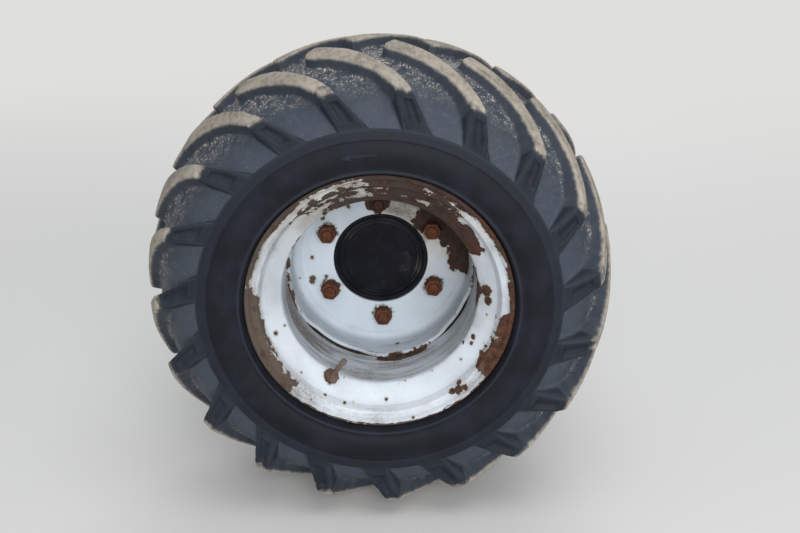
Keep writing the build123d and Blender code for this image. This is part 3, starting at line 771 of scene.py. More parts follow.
rim = make_piece("Rim_sheet", turned(rounded(rim_outline, 5), 176), RIM_PAINT, "wheel")
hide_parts("rim")


# Rim welds
# Runs of weld bead join the skirt's edge to the rim's well, with open gaps between them. Each run is
# a row of overlapping lumps, painted with the wheel and rusted through since.
WELD_RUNS = [(165, 210), (268, 303), (350, 395), (60, 112), (125, 150)]
BEAD_PITCH = 1.25
BEAD_FORM = (4.2, 4.6, 3.4)


def ring_tree():
    """Geometry nodes that set copies of a form round the Y axis, on a part of a circle."""
    w, given, out = node_group(
        "Set round the axis", "GeometryNodeTree",
        [("Form", "Geometry", None), ("Count", "Int", 6), ("Circle", "Float", 0.1), ("Along", "Float", 0.0),
         ("First Angle", "Float", 0.0), ("Span", "Float", 2 * math.pi), ("Turn", "Float", 0.0),
         ("Unevenness", "Float", 0.0), ("Seed", "Int", 1), ("Material", "Material", None)],
        [("Geometry", "Geometry")],
    )
    index = w.add("GeometryNodeInputIndex").outputs[0]
    share = w.math("DIVIDE", index, given["Count"])
    angle = w.math("ADD", given["First Angle"], w.math("MULTIPLY", share, given["Span"]))
    spot = w.add("ShaderNodeCombineXYZ", {
        "X": w.math("MULTIPLY", given["Circle"], w.math("COSINE", angle)),
        "Y": given["Along"],
        "Z": w.math("MULTIPLY", given["Circle"], w.math("SINE", angle)),
    })
    line = w.add("GeometryNodeMeshLine", {"Count": given["Count"]})
    points = w.add("GeometryNodeSetPosition", {"Geometry": line.outputs[0], "Position": spot.outputs[0]})

    def chance(low, high, offset):
        node = w.add("FunctionNodeRandomValue", data_type="FLOAT")
        seed = w.math("ADD", given["Seed"], offset)
        for name, value in (("Min", low), ("Max", high), ("Seed", seed)):
            w.feed([s for s in node.inputs if s.name == name and s.enabled][0], value)
        return [s for s in node.outputs if s.enabled][0]

    turn = w.math("MULTIPLY", given["Turn"], chance(-1.0, 1.0, 0))
    facing = w.add("ShaderNodeCombineXYZ", {"Y": w.math("SUBTRACT", turn, angle)})
    uneven = given["Unevenness"]
    sizes = [w.math("ADD", 1.0, w.math("MULTIPLY", uneven, chance(-1.0, 1.0, number))) for number in (7, 8, 9)]
    scale = w.add("ShaderNodeCombineXYZ", dict(zip("XYZ", sizes)))
    copies = w.add("GeometryNodeInstanceOnPoints", {
        "Points": points.outputs[0], "Instance": given["Form"], "Rotation": facing.outputs[0],
        "Scale": scale.outputs[0],
    })
    real = w.add("GeometryNodeRealizeInstances", {"Geometry": copies.outputs[0]})
    coated = w.add("GeometryNodeSetMaterial", {"Geometry": real.outputs[0], "Material": given["Material"]})
    w.feed(out["Geometry"], coated.outputs[0])
    return w.tree


RING = ring_tree()


def grown(form, tree, **values):
    """The mesh that a node tree makes from a form, with the tree's inputs set by name."""
    mesh = bpy.data.meshes.new("form")
    form.to_mesh(mesh)
    form.free()
    mesh.shade_smooth()
    seedling = bpy.data.objects.new("form", mesh)
    scene.collection.objects.link(seedling)
    modifier = seedling.modifiers.new("grow", "NODES")
    modifier.node_group = tree
    for item in tree.interface.items_tree:
        if item.in_out == "INPUT" and item.name in values:
            modifier[item.identifier] = values[item.name]
    depsgraph = bpy.context.evaluated_depsgraph_get()
    result = bpy.data.meshes.new_from_object(seedling.evaluated_get(depsgraph))
    seedling.modifiers.remove(modifier)
    bpy.data.objects.remove(seedling)
    return result


def lump(sizes, detail=2):
    """A small ball of weld metal, longer one way than the others, in millimetres."""
    form = bmesh.new()
    bmesh.ops.create_icosphere(form, subdivisions=detail, radius=1.0)
    form.transform(Matrix.Diagonal((*[size * MM for size in sizes], 1)))
    edge_layer = form.verts.layers.float.new("edge")
    for vertex in form.verts:
        vertex[edge_layer] = 0.6
    return form


weld_patches = [(150, 162, -60, 0, 284, 22, 16), (150, 162, -60, 0, 188, 20, 16), (150, 162, -60, 0, 60, 75, 16)]
WELD_PAINT = peeling_paint("Rusty weld paint", (RIM_GREY, RIM_SHADE), weld_patches, [(156, 250, -33, 2.0)],
                           rim_dirt_and_shade, 0.03, 90, 90, 0.5)
for number, (start, end) in enumerate(WELD_RUNS):
    run = grown(
        lump(BEAD_FORM), RING, Count=round((end - start) / BEAD_PITCH), Circle=(DISC_RADIUS - 2.2) * MM,
        Along=WHEEL_PLANE + (SKIRT_EDGE + 0.6) * MM, Span=math.radians(end - start),
        Unevenness=0.22, Turn=0.3, Seed=11 + number, Material=WELD_PAINT, **{"First Angle": math.radians(start)},
    )
    dress_piece(f"Weld_run_{number + 1}", run, WELD_PAINT, "wheel", None)


# Wheel studs and nuts
# Six M18 studs screwed into the hub's flange, each with a chamfered hex nut of 27 mm across its flats.
# They were never painted, and both have a skin of red-brown rust.
NUT_FLATS = 27.0
NUT_HEIGHT = DISC_FACE - inward(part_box("wheel_nuts")[0].y)
STUD_RADIUS = 9.0
STUD_TIP = inward(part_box("wheel_studs")[0].y) - DISC_FACE
STUD_BACK = inward(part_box("wheel_studs")[1].y) - DISC_FACE
THREAD_PITCH = 1.5


def rusty_steel(name, redness, grain_height, dirt, dirt_colour=CAKED_DIRT):
    """Bare steel under a full skin of rust, with dirt caked on it, and darkened at the wheel's top with painted shade.
    """
    material, w, shader, position, edge = start_material(name)
    shader.inputs["Specular IOR Level"].default_value = 0.2
    rust = w.group(RUST, {"Position": position, "Redness": redness})
    worn = w.math("MULTIPLY", w.math("MAXIMUM", edge, 0.0), w.step(w.noise(position, 4.0, 4), 0.4, 0.6))
    lighter = w.mix(w.math("MULTIPLY", worn, 0.35), rust["Colour"], RUST_ORANGE)
    dusty = w.group(DUST, {"Position": position, "Edge": edge, "Amount": dirt})["Mask"]
    angle = w.group(WHEEL_PLACE, {"Position": position})["Angle"]
    # Painted shade: the nut at the wheel's top is darkened.
    toward_shade = w.step(w.math("COSINE", w.math("RADIANS", w.math("SUBTRACT", angle, 90.0))), 0.75, 0.97, 0.7)
    shade = w.mix(toward_shade, w.mix(w.math("MULTIPLY", dusty, 0.85), lighter, dirt_colour), RUST_AND_SHADE_DARK)
    w.feed(shader.inputs["Base Color"], shade)
    w.feed(shader.inputs["Roughness"], w.math("ADD", 0.74, w.math("MULTIPLY", dusty, 0.18)))
    pits = w.math("MULTIPLY", w.noise(position, 2.4, 5, 0.7), grain_height)
    raise_surface(w, shader, w.math("ADD", pits, w.math("MULTIPLY", rust["Height"], 0.35)))
    return material


NUT_RUST = rusty_steel("Rusty nuts", 1.0, 0.5, 0.06)
nut_points = [(STUD_RADIUS + 0.4, 0, 0), (14.4, 0, 0), (16.0, -1.0, 1.0), (16.0, -(NUT_HEIGHT - 2.4), 0.6)]
for number in range(5):
    nut_points.append((15.6 - 0.72 * number, -(NUT_HEIGHT - 1.9 + 0.42 * number), 1.0))
nut_points += [(11.6, -NUT_HEIGHT, 0.2), (STUD_RADIUS + 1.3, -NUT_HEIGHT, 0.6), (STUD_RADIUS + 0.4, -NUT_HEIGHT + 1, 0)]
ring_of_six = {"Count": NUT_COUNT, "Circle": STUD_CIRCLE * MM, "Along": WHEEL_PLANE + DISC_FACE * MM,
               "First Angle": math.radians(NUT_FIRST)}
at_origin = Matrix.Identity(4)
nuts = grown(turned(nut_points, 48, at_origin, NUT_FLATS), RING, Turn=math.pi / 6, Seed=5, Material=NUT_RUST,
             **ring_of_six)
nuts = dress_piece("Wheel_nuts_hex", nuts, NUT_RUST, "wheel", 30.0)
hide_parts("wheel_nuts")

stud_points = [(0, STUD_BACK, 0), (STUD_RADIUS - 1.2, STUD_BACK, 0.5), (STUD_RADIUS, STUD_BACK - 1.2, 0.5)]
along = STUD_TIP + 6.0
while along > STUD_TIP + 1.4:
    stud_points += [(STUD_RADIUS, along, 0.5), (STUD_RADIUS - 0.9, along - THREAD_PITCH / 2, -0.5)]
    along -= THREAD_PITCH
stud_points += [(STUD_RADIUS - 0.3, STUD_TIP + 0.9, 0.6), (STUD_RADIUS - 1.3, STUD_TIP, 0.6), (0, STUD_TIP, 0)]
studs = grown(turned(stud_points, 32, at_origin), RING, Turn=math.pi, Seed=9, Material=NUT_RUST, **ring_of_six)
studs = dress_piece("Wheel_studs_threaded", studs, NUT_RUST, "wheel", 40.0)
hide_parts("wheel_studs")


# Tyre valve
# A clamp-in steel valve low on the rim's outer slope: a hex nut on the sheet, a threaded stem bent
# towards the axle and a ribbed plastic cap. Rust and caked dust have made it one dull brown.
VALVE_ANGLE = 240.3
VALVE_SHARE_UP_SLOPE = 0.25
VALVE_NUT_FLATS = 22.0
VALVE_NUT_LIFT = 0.5
VALVE_NUT_HEIGHT = 7.0
VALVE_SHANK = 5.6
VALVE_STEM = 4.0
VALVE_NECK = 3.0
VALVE_STEM_LENGTH = 37.0
VALVE_LEAN_OUTWARD = 8.0
VALVE_LEAN_SIDEWAYS = 5.0
VALVE_CAP_RADIUS = 4.8
VALVE_CAP_LENGTH = 10.0
CAP_RIBS = 18
CAP_BLACK = (0.05, 0.045, 0.038, 1)
VALVE_DIRT = (0.175, 0.140, 0.112, 1)
slope_run, slope_rise = SLOPE_HEAD - SLOPE_FOOT, BEAD_RADIUS - RIM_SHEET - WELL_RADIUS
nut_top = VALVE_NUT_LIFT + VALVE_NUT_HEIGHT
cap_foot = VALVE_STEM_LENGTH - VALVE_CAP_LENGTH


def wheel_direction(outward, sideways, along):
    """A unit direction at the valve, from its parts away from the axle, round it and inward."""
    turn = math.radians(VALVE_ANGLE)
    away, level = Vector((math.cos(turn), 0, math.sin(turn))), Vector((-math.sin(turn), 0, math.cos(turn)))
    return (away * outward + level * sideways + Vector((0, along, 0))).normalized()


def standing_at(point, direction):
    """The place of a turned form that stands at a point, in millimetres, along a direction."""
    return Matrix.Translation(point * MM) @ direction.to_track_quat("Y", "Z").to_matrix().to_4x4()


valve_foot = wheel_point(WELL_RADIUS + slope_rise * VALVE_SHARE_UP_SLOPE, VALVE_ANGLE,
                         -(SLOPE_FOOT + slope_run * VALVE_SHARE_UP_SLOPE))
nut_axis = wheel_direction(-slope_run, 0.0, -slope_rise)
stem_axis = wheel_direction(-math.cos(math.radians(VALVE_LEAN_OUTWARD)), math.tan(math.radians(VALVE_LEAN_SIDEWAYS)),
                            -math.sin(math.radians(VALVE_LEAN_OUTWARD)))
valve_bend = valve_foot + nut_axis * (nut_top + VALVE_NECK)
nut_place, stem_place = standing_at(valve_foot, nut_axis), standing_at(valve_bend, stem_axis)

VALVE_RUST = rusty_steel("Rusty valve steel", 0.3, 0.7, 0.85, VALVE_DIRT)
valve_forms = [
    turned([(0, VALVE_NUT_LIFT, 0), (11.2, VALVE_NUT_LIFT, 0.5), (12.7, VALVE_NUT_LIFT + 0.8, 0.8),
            (12.7, nut_top - 1.4, 0.8), (11.9, nut_top - 0.7, 1.0), (11.0, nut_top - 0.2, 1.0), (10.0, nut_top, 0.4),
            (0, nut_top, 0)], 48, nut_place, VALVE_NUT_FLATS),
    turned([(0, -RIM_SHEET, 0), (VALVE_SHANK, -RIM_SHEET, 0), (VALVE_SHANK, nut_top + 0.8, 0.5),
            (VALVE_STEM + 0.3, nut_top + 1.8, 0.2), (VALVE_STEM, nut_top + VALVE_NECK, 0),
            (2.9, nut_top + VALVE_NECK + 2.6, 0.4), (0, nut_top + VALVE_NECK + 3.6, 0.4)], 28, nut_place),
]
stem_points = [(0, -VALVE_STEM, 0), (2.6, -3.0, 0.4), (VALVE_STEM, 0, 0), (VALVE_STEM, 4.0, 0)]
along = 5.0
while along < cap_foot - 1.5:
    stem_points += [(VALVE_STEM, along, 0.5), (VALVE_STEM - 0.5, along + 0.6, -0.5)]
    along += 1.2
stem_points += [(VALVE_STEM, cap_foot, 0), (0, cap_foot, 0)]
valve_forms.append(turned(stem_points, 28, stem_place))
valve_form = valve_forms.pop()
for part_form in valve_forms:
    part_mesh = bpy.data.meshes.new("valve")
    part_form.to_mesh(part_mesh)
    part_form.free()
    valve_form.from_mesh(part_mesh)
valve = make_piece("Valve_stem_and_nut", valve_form, VALVE_RUST, "wheel", 32.0)
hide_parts("valve")

CAP_PLASTIC = black_paint("Valve cap plastic", CAP_BLACK, 0.6, 0.3, 0.8, 0.1, 1.0, 0.08)
cap_points = [
    (0, cap_foot, 0), (VALVE_CAP_RADIUS - 0.3, cap_foot, 0.3), (VALVE_CAP_RADIUS, cap_foot + 0.5, 0.5),
    (VALVE_CAP_RADIUS, VALVE_STEM_LENGTH - 2.2, 0.5), (VALVE_CAP_RADIUS - 0.5, VALVE_STEM_LENGTH - 1.0, 0.7),
    (VALVE_CAP_RADIUS - 1.4, VALVE_STEM_LENGTH - 0.2, 0.7), (0, VALVE_STEM_LENGTH, 0),
]
cap_form = turned(cap_points, CAP_RIBS * 4, at_origin)
for vertex in cap_form.verts:
    reach = math.hypot(vertex.co.x, vertex.co.z)
    if reach > (VALVE_CAP_RADIUS - 0.9) * MM and vertex.co.y > (cap_foot + 0.4) * MM:
        shrink = 1.0 - 0.045 * (1.0 + math.cos(math.atan2(vertex.co.z, vertex.co.x) * CAP_RIBS))
        vertex.co.x *= shrink
        vertex.co.z *= shrink
cap_form.transform(stem_place)
cap = make_piece("Valve_cap_ribbed", cap_form, CAP_PLASTIC, "wheel", 50.0)
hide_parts("valve_cap")


# Tyre
# A wide bar-lug flotation tyre of black rubber, moulded in one piece. Nineteen lugs a side stand half
# a pitch apart, each with a moulded pocket in its shoulder. They are worn, dusty and scuffed.
LUG_COUNT = 19
LUG_FIRST = 100.0
LUG_PITCH = 360.0 / LUG_COUNT
COLUMNS = 24
TYRE_CREASE = 24.0
TREAD_END = 2.2
NOSE_WALL = 4.6
POCKET_DEPTH = 2.6
POCKET_FRAME = 0.6
POCKET_TOP = 331.0
POCKET_FOOT = 296.0
# Stations across one side of the tyre, from its middle to the ring under the lugs:
# steps to the next, radius and width of the lug's top, of the floor, and the lug's two edge angles
LUG_STATIONS = [
    (2, 381.0, 0.0, 362.0, 0.0, 24.10, 24.90),
    (6, 381.0, 2.2, 362.0, 2.2, 23.95, 24.75),
    (3, 380.9, 9.0, 361.9, 9.0, 23.15, 25.05),
    (3, 380.8, 18.0, 361.7, 18.0, 21.90, 25.75),
    (3, 380.4, 30.0, 361.2, 30.0, 20.05, 26.40),
    (3, 379.2, 45.0, 360.1, 45.0, 17.30, 26.75),
    (3, 377.6, 60.0, 358.4, 60.0, 15.10, 25.20),
    (4, 375.7, 74.0, 356.2, 74.0, 13.20, 21.40),
    (4, 372.4, 94.0, 352.3, 93.0, 10.80, 17.80),
    (4, 367.9, 116.0, 346.3, 112.0, 8.10, 13.90),
    (4, 362.4, 138.0, 338.3, 131.0, 5.40, 10.00),
    (4, 355.6, 160.0, 328.6, 149.0, 3.10, 7.40),
    (1, 349.0, 178.0, 318.6, 162.5, 1.30, 5.20),
    (1, 347.2, 182.0, 316.6, 164.6, 1.00, 5.00),
    (1, 344.2, 184.8, 314.6, 166.6, 0.70, 4.80),
    (2, 341.0, 186.0, 312.6, 168.4, 0.30, 4.60),
    (1, POCKET_TOP + 1.2, 186.8, 307.8, 171.8, -0.65, 4.05),
    (1, POCKET_TOP, 186.9, 307.2, 172.2, -0.75, 4.00),
    (6, POCKET_TOP - 1.2, 186.9, 306.6, 172.6, -0.85, 3.95),
    (1, POCKET_FOOT + 1.2, 188.4, 290.6, 182.2, -4.95, 2.10),
    (1, POCKET_FOOT, 188.5, 290.1, 182.6, -5.10, 2.05),
    (2, POCKET_FOOT - 1.2, 188.5, 289.6, 183.0, -5.25, 2.00),
    (2, 288.0, 188.6, 286.2, 185.2, -6.00, 1.60),
    (0, 284.2, 188.8, 283.9, 187.4, -6.60, 1.30),
]
# The sidewall from that ring down to the bead, then the inside up to the crown: radius, width
SIDEWALL = [
    (283.6, 189.4), (282.6, 190.3), (281.2, 190.6), (276.0, 191.3), (270.0, 192.3), (268.4, 192.5), (267.4, 191.7),
    (266.2, 191.8), (262.0, 193.4), (256.0, 195.2), (249.0, 196.3), (241.0, 196.2), (233.0, 194.8), (226.0, 192.3),
    (221.4, 189.9), (220.2, 190.6), (218.6, 191.0), (217.0, 190.4), (215.6, 188.4), (213.4, 182.0), (211.2, 172.5),
    (208.5, 167.6), (204.8, 165.2), (198.0, 164.9), (192.6, 163.6), (190.9, 160.0), (190.8, 150.0), (191.2, 142.4),
    (195.0, 142.0), (212.0, 160.0), (240.0, 180.6), (282.0, 168.0), (318.0, 136.0), (336.0, 80.0), (342.0, 0.0),
]
# Columns beside each edge of a lug: millimetres outward from the edge, and the share of its height
WALL_COLUMNS = [(11.0, 0.0), (6.4, 0.045), (4.0, 0.17), (2.5, 0.45), (1.0, 0.84), (-0.5, 0.965), (-3.4, 1.0)]
POCKET_COLUMNS = [(0.22, 1), (0.27, 2), (0.50, 2), (0.73, 2), (0.78, 1)]
GROOVE_COLUMNS = COLUMNS - 2 * len(WALL_COLUMNS) - len(POCKET_COLUMNS)


def between(table, number, share):
    """A table's row a share of the way from one row to the next."""
    here, ahead = table[number], table[min(number + 1, len(table) - 1)]
    return [a + (b - a) * share for a, b in zip(here, ahead)]


def station_rows():
    """Rows from the middle to the ring: top radius and width, floor radius and width, edge angles."""
    rows = []
    for number, station in enumerate(LUG_STATIONS):
        for step in range(max(station[0], 1)):
            rows.append(between([row[1:] for row in LUG_STATIONS], number, step / max(station[0], 1)))
    rows = np.array(rows)
    for _ in range(2):
        softer = rows.copy()
        softer[1:-1] = 0.5 * rows[1:-1] + 0.25 * (rows[:-2] + rows[2:])
        keep = (rows[:, 0] < 350.0) | (rows[:, 1] < TREAD_END + 1.0)
        softer[keep] = rows[keep]
        rows = softer
    return rows


def row_columns(row):
    """Angles, height shares and pocket marks of the columns across one pitch at a row."""
    top_radius, _, _, _, low, high = row
    per_mm = math.degrees(1.0 / top_radius)
    shrink = min(1.0, (high - low) / per_mm / 9.0)
    columns = []
    for out, height in WALL_COLUMNS:
        columns.append((low - (out if out > 0 else out * shrink) * per_mm, height, 0))
    inner_low, inner_high = columns[-1][0], high - 3.4 * shrink * per_mm
    for share, mark in POCKET_COLUMNS:
        columns.append((inner_low + share * (inner_high - inner_low), 1.0, mark))
    for out, height in reversed(WALL_COLUMNS):
        columns.append((high + (out if out > 0 else out * shrink) * per_mm, height, 0))
    last, following = columns[-1][0], columns[0][0] + LUG_PITCH
    for number in range(GROOVE_COLUMNS):
        share = (number + 1) / (GROOVE_COLUMNS + 1)
        columns.append((last + share * (following - last), 0.0, 0))
    return columns


def even_columns(middle):
    """The same columns spaced evenly, with the lug's middle column at an angle."""
    centre = len(WALL_COLUMNS) + len(POCKET_COLUMNS) // 2
    return [middle + (number - centre) * LUG_PITCH / COLUMNS for number in range(COLUMNS)]


def smooth_share(value, low, high):
    share = min(max((value - low) / (high - low), 0.0), 1.0)
    return share * share * (3 - 2 * share)


def tyre_pitch():
    """One pitch of the tyre, both sides, as a grid whose columns follow the lug's edges."""
    form = bmesh.new()
    layers = {label: form.verts.layers.float.new(label) for label in ("edge", "lug", "wall")}
    rows = station_rows()
    spread_middle = (rows[0][4] + rows[0][5]) / 2
    foot = row_columns(rows[-1])
    foot_middle = sum(angle for angle, _, _ in foot) / COLUMNS + LUG_PITCH / COLUMNS * (
        len(WALL_COLUMNS) + len(POCKET_COLUMNS) // 2 - (COLUMNS - 1) / 2)
    for side in (-1, 1):
        start = LUG_FIRST + (LUG_PITCH / 2 if side > 0 else 0.0)
        grid = []

        def ring_row(points):
            ring = []
            for angle, radius, width, marks in points + [(points[0][0] + LUG_PITCH, *points[0][1:])]:
                vertex = form.verts.new(wheel_point(radius, start + angle, side * width) * MM)
                for label, value in marks.items():
                    vertex[layers[label]] = value
                ring.append(vertex)
            grid.append(ring)

        for row in rows:
            top_radius, top_width, floor_radius, floor_width, low, high = row
            rise = smooth_share(top_width, TREAD_END, TREAD_END + NOSE_WALL)
            spread = 1.0 - smooth_share(top_width, 0.0, TREAD_END)
            points = []
            for (angle, height, mark), even in zip(row_columns(row), even_columns(spread_middle)):
                angle += (even - angle) * spread
                height *= rise
                radius = floor_radius + height * (top_radius - floor_radius)
                width = floor_width + height * (top_width - floor_width)
                if POCKET_FOOT - 1.3 < top_radius < POCKET_TOP + 1.3 and mark:
                    inside = mark == 2 and POCKET_FOOT + 0.1 < top_radius < POCKET_TOP - 0.1
                    width -= POCKET_DEPTH if inside else -POCKET_FRAME
                shoulder = top_radius < 342.0
                edged = 1.0 if 0.8 < height < 0.99 or (height > 0.9 and 340 < top_radius < 350) else 0.0
                points.append((angle, radius, width, {"edge": edged, "lug": height, "wall": float(shoulder)}))
            ring_row(points)
        even_out = 0.0
        for radius, width in SIDEWALL:
            even_out = max(even_out, smooth_share(radius, 283.5, 264.0))
            points = []
            for (angle, _, _), even in zip(foot, even_columns(foot_middle)):
                points.append((angle + (even - angle) * even_out, radius, width, {"edge": 0.0, "lug": 0.0, "wall": 1.0}))
            ring_row(points)
        for row, following in zip(grid, grid[1:]):
            for number in range(COLUMNS):
                corners = [row[number], row[number + 1], following[number + 1], following[number]]
                form.faces.new(corners if side < 0 else corners[::-1])
    for crease in form.edges:
        if len(crease.link_faces) == 2 and crease.calc_face_angle() > math.radians(TYRE_CREASE):
            crease.smooth = max(vertex.co.xz.length for vertex in crease.verts) > POCKET_TOP * MM + 0.002
    return form


def tyre_tree():
    """Geometry nodes that turn one pitch into the whole tyre, weld the pitches and wear the rubber."""
    w, given, out = node_group(
        "Tyre from one pitch", "GeometryNodeTree",
        [("Pitch", "Geometry", None), ("Lug Count", "Int", 19), ("Wear", "Float", 0.001), ("Wear Size", "Float", 0.01),
         ("Edge Wear", "Float", 0.001), ("Seed", "Int", 1), ("Material", "Material", None)],
        [("Geometry", "Geometry")],
    )
    index = w.add("GeometryNodeInputIndex").outputs[0]
    turn = w.math("MULTIPLY", w.math("DIVIDE", index, given["Lug Count"]), 2 * math.pi)
    line = w.add("GeometryNodeMeshLine", {"Count": given["Lug Count"], "Offset": (0, 0, 0)})
    copies = w.add("GeometryNodeInstanceOnPoints", {
        "Points": line.outputs[0], "Instance": given["Pitch"],
        "Rotation": w.add("ShaderNodeCombineXYZ", {"Y": turn}).outputs[0],
    })
    real = w.add("GeometryNodeRealizeInstances", {"Geometry": copies.outputs[0]})
    welded = w.add("GeometryNodeMergeByDistance", {"Geometry": real.outputs[0], "Distance": 0.00004})
    place = w.add("GeometryNodeInputPosition").outputs[0]
    normal = w.add("GeometryNodeInputNormal").outputs[0]
    lumps = w.add("ShaderNodeTexNoise", {"Vector": place, "W": given["Seed"], "Detail": 3.0,
                                         "Scale": w.math("DIVIDE", 1.0, given["Wear Size"])}, noise_dimensions="4D")
    uneven = w.math("MULTIPLY", w.math("SUBTRACT", lumps.outputs[0], 0.55), given["Wear"])
    edge = w.add("GeometryNodeInputNamedAttribute", {"Name": "edge"}, data_type="FLOAT").outputs[0]
    nibbled = w.add("ShaderNodeTexNoise", {"Vector": place, "W": given["Seed"], "Scale": 95.0, "Detail": 2.0},
                    noise_dimensions="4D")
    bite = w.step(nibbled.outputs[0], 0.46, 0.70)
    taken = w.math("MULTIPLY", w.math("MULTIPLY", bite, edge), given["Edge Wear"])
    push = w.vector("SCALE", normal, w.math("SUBTRACT", uneven, taken))
    moved = w.add("GeometryNodeSetPosition", {"Geometry": welded.outputs[0], "Offset": push})
    coated = w.add("GeometryNodeSetMaterial", {"Geometry": moved.outputs[0], "Material": given["Material"]})
    w.feed(out["Geometry"], coated.outputs[0])
    return w.tree


RUBBER_WALL = (0.0094, 0.0103, 0.0150, 1)
RUBBER_SHOULDER = (0.0145, 0.0190, 0.0270, 1)
RUBBER_GROOVE = (0.0490, 0.0620, 0.0830, 1)
RUBBER_TOP = (0.3900, 0.3450, 0.2850, 1)
TREAD_DUST = (0.2000, 0.1980, 0.1950, 1)
PALE_GRIT = (0.6000, 0.5600, 0.5000, 1)


def worn_rubber():
    """Tyre rubber: dark walls, dry tan tops, blue-grey grooves with pale grit, scuffed edges, and painted highlights on
    the bead rib, the ring and raised wall edges.
    """
    material, w, shader, position, edge = start_material("Worn tyre rubber")
    shader.inputs["Specular IOR Level"].default_value = 0.10
    place = w.group(WHEEL_PLACE, {"Position": position})
    lug = w.add("ShaderNodeAttribute", attribute_name="lug").outputs["Fac"]
    wall = w.add("ShaderNodeAttribute", attribute_name="wall").outputs["Fac"]
    tread = w.math("SUBTRACT", 1.0, wall)
    cloud = w.noise(position, 55.0, 5, 0.6)
    patchy = w.noise(position, 16.0, 5, 0.65)
    grain = w.noise(position, 1.3, 4, 0.7)
    scuff = w.noise(w.vector("MULTIPLY", position, (1.0, 0.35, 1.0)), 7.0, 6, 0.7)
    floor = w.math("SUBTRACT", 1.0, w.step(lug, 0.02, 0.30))
    flank = w.math("MULTIPLY", w.step(lug, 0.02, 0.30), w.math("SUBTRACT", 1.0, w.step(lug, 0.90, 0.985)))
    above_ring = w.step(place["Radius"], 282.5, 285.0)
    shade = w.mix(w.math("MULTIPLY", floor, above_ring), RUBBER_SHOULDER, RUBBER_GROOVE)
    shade = w.mix(w.math("SUBTRACT", 1.0, above_ring), shade, RUBBER_WALL)
    band = w.math("MULTIPLY", w.step(place["Radius"], 266.5, 269.5), w.math("SUBTRACT", 1.0, above_ring))
    shade = w.mix(w.math("MULTIPLY", band, 0.14), shade, RUBBER_GROOVE)
    shade = w.mix(w.math("MULTIPLY", w.math("MULTIPLY", flank, tread), 0.65), shade, RUBBER_GROOVE)
    shade = w.mix(w.step(cloud, 0.40, 0.70, 0.14), shade, RUBBER_GROOVE)
    open_tread = w.math("SUBTRACT", above_ring, w.math("MULTIPLY", wall, 0.6), clamp=True)
    film = w.math("MULTIPLY", open_tread, w.step(patchy, 0.35, 0.65, 0.09))
    shade = w.mix(film, shade, ROAD_DUST)
    # Painted highlights: light lines along the bead rib, the ring's edge and raised edges on the wall, such as the
    # arrow's.
    bead_rib_highlight = w.math("MULTIPLY", w.step(place["Radius"], 215.5, 217.5),
                      w.math("SUBTRACT", 1.0, w.step(place["Radius"], 219.5, 221.5)))
    ring_edge_highlight = w.math("MULTIPLY", w.step(place["Radius"], 281.0, 282.4),
                       w.math("SUBTRACT", 1.0, w.step(place["Radius"], 284.0, 285.6)))
    raised_edge_highlight = w.step(w.math("MULTIPLY", edge, wall), 0.05, 0.6)
    shade = w.mix(w.math("MULTIPLY", w.largest(bead_rib_highlight, ring_edge_highlight, raised_edge_highlight), 0.22), shade, RUBBER_GROOVE)
    dry = w.math("ADD", w.math("MULTIPLY", cloud, 0.6), w.math("MULTIPLY", scuff, 0.6))
    ragged_radius = w.math("ADD", place["Radius"], w.math("MULTIPLY", w.math("SUBTRACT", patchy, 0.5), 42.0))
    ragged_height = w.math("ADD", lug, w.math("MULTIPLY", w.math("SUBTRACT", scuff, 0.5), 0.34))
    top = w.math("MULTIPLY", w.step(ragged_height, 0.68, 1.0), w.step(ragged_radius, 338.0, 353.0))
    shade = w.mix(w.math("MULTIPLY", top, w.math("ADD", 0.40, w.step(dry, 0.40, 0.74, 0.60))), shade, RUBBER_TOP)
    corner = w.math("MULTIPLY", w.step(place["Radius"], 338.0, 346.0),
                    w.math("SUBTRACT", 1.0, w.step(place["Radius"], 353.0, 364.0)))
    bleached = w.math("MULTIPLY", w.math("MULTIPLY", top, corner), w.step(patchy, 0.36, 0.60, 0.24))
    shade = w.mix(bleached, shade, PALE_GRIT)
    rubbed = w.math("MULTIPLY", w.math("MULTIPLY", edge, tread), w.step(lug, 0.80, 0.96))
    shade = w.mix(w.math("MULTIPLY", rubbed, 0.35), shade, RUBBER_TOP)
    centre = w.step(place["Radius"], 322.0, 358.0)
    lain = w.math("MULTIPLY", w.math("MULTIPLY", floor, centre), w.step(patchy, 0.40, 0.66))
    shade = w.mix(w.math("MULTIPLY", lain, 0.55), shade, TREAD_DUST)
    flecks = w.noise(w.vector("MULTIPLY", position, (1.0, 0.6, 1.0)), 3.8, 3, 0.75)
    where = w.math("MULTIPLY", w.math("ADD", 0.05, centre), above_ring)
    strewn = w.math("MULTIPLY", w.math("MULTIPLY", floor, where), w.step(patchy, 0.38, 0.53))
    grit = w.math("MULTIPLY", w.step(flecks, 0.555, 0.600), strewn)
    shade = w.mix(w.math("MULTIPLY", grit, 0.85, clamp=True), shade, PALE_GRIT)
    sparse = w.math("MULTIPLY", w.step(w.noise(position, 1.7, 2, 0.7), 0.745, 0.785), 0.16)
    shade = w.mix(sparse, shade, TREAD_DUST)
    w.feed(shader.inputs["Base Color"], shade)
    rough = w.math("ADD", 0.46, w.math("MULTIPLY", w.largest(top, lain, w.step(cloud, 0.3, 0.9)), 0.34))
    w.feed(shader.inputs["Roughness"], rough)
    relief = w.math("ADD", w.math("MULTIPLY", grain, 0.10), w.math("MULTIPLY", scuff, 0.30))
    relief = w.math("ADD", relief, w.math("MULTIPLY", grit, 0.25))
    raise_surface(w, shader, w.math("ADD", relief, w.math("MULTIPLY", cloud, 0.5)))
    return material


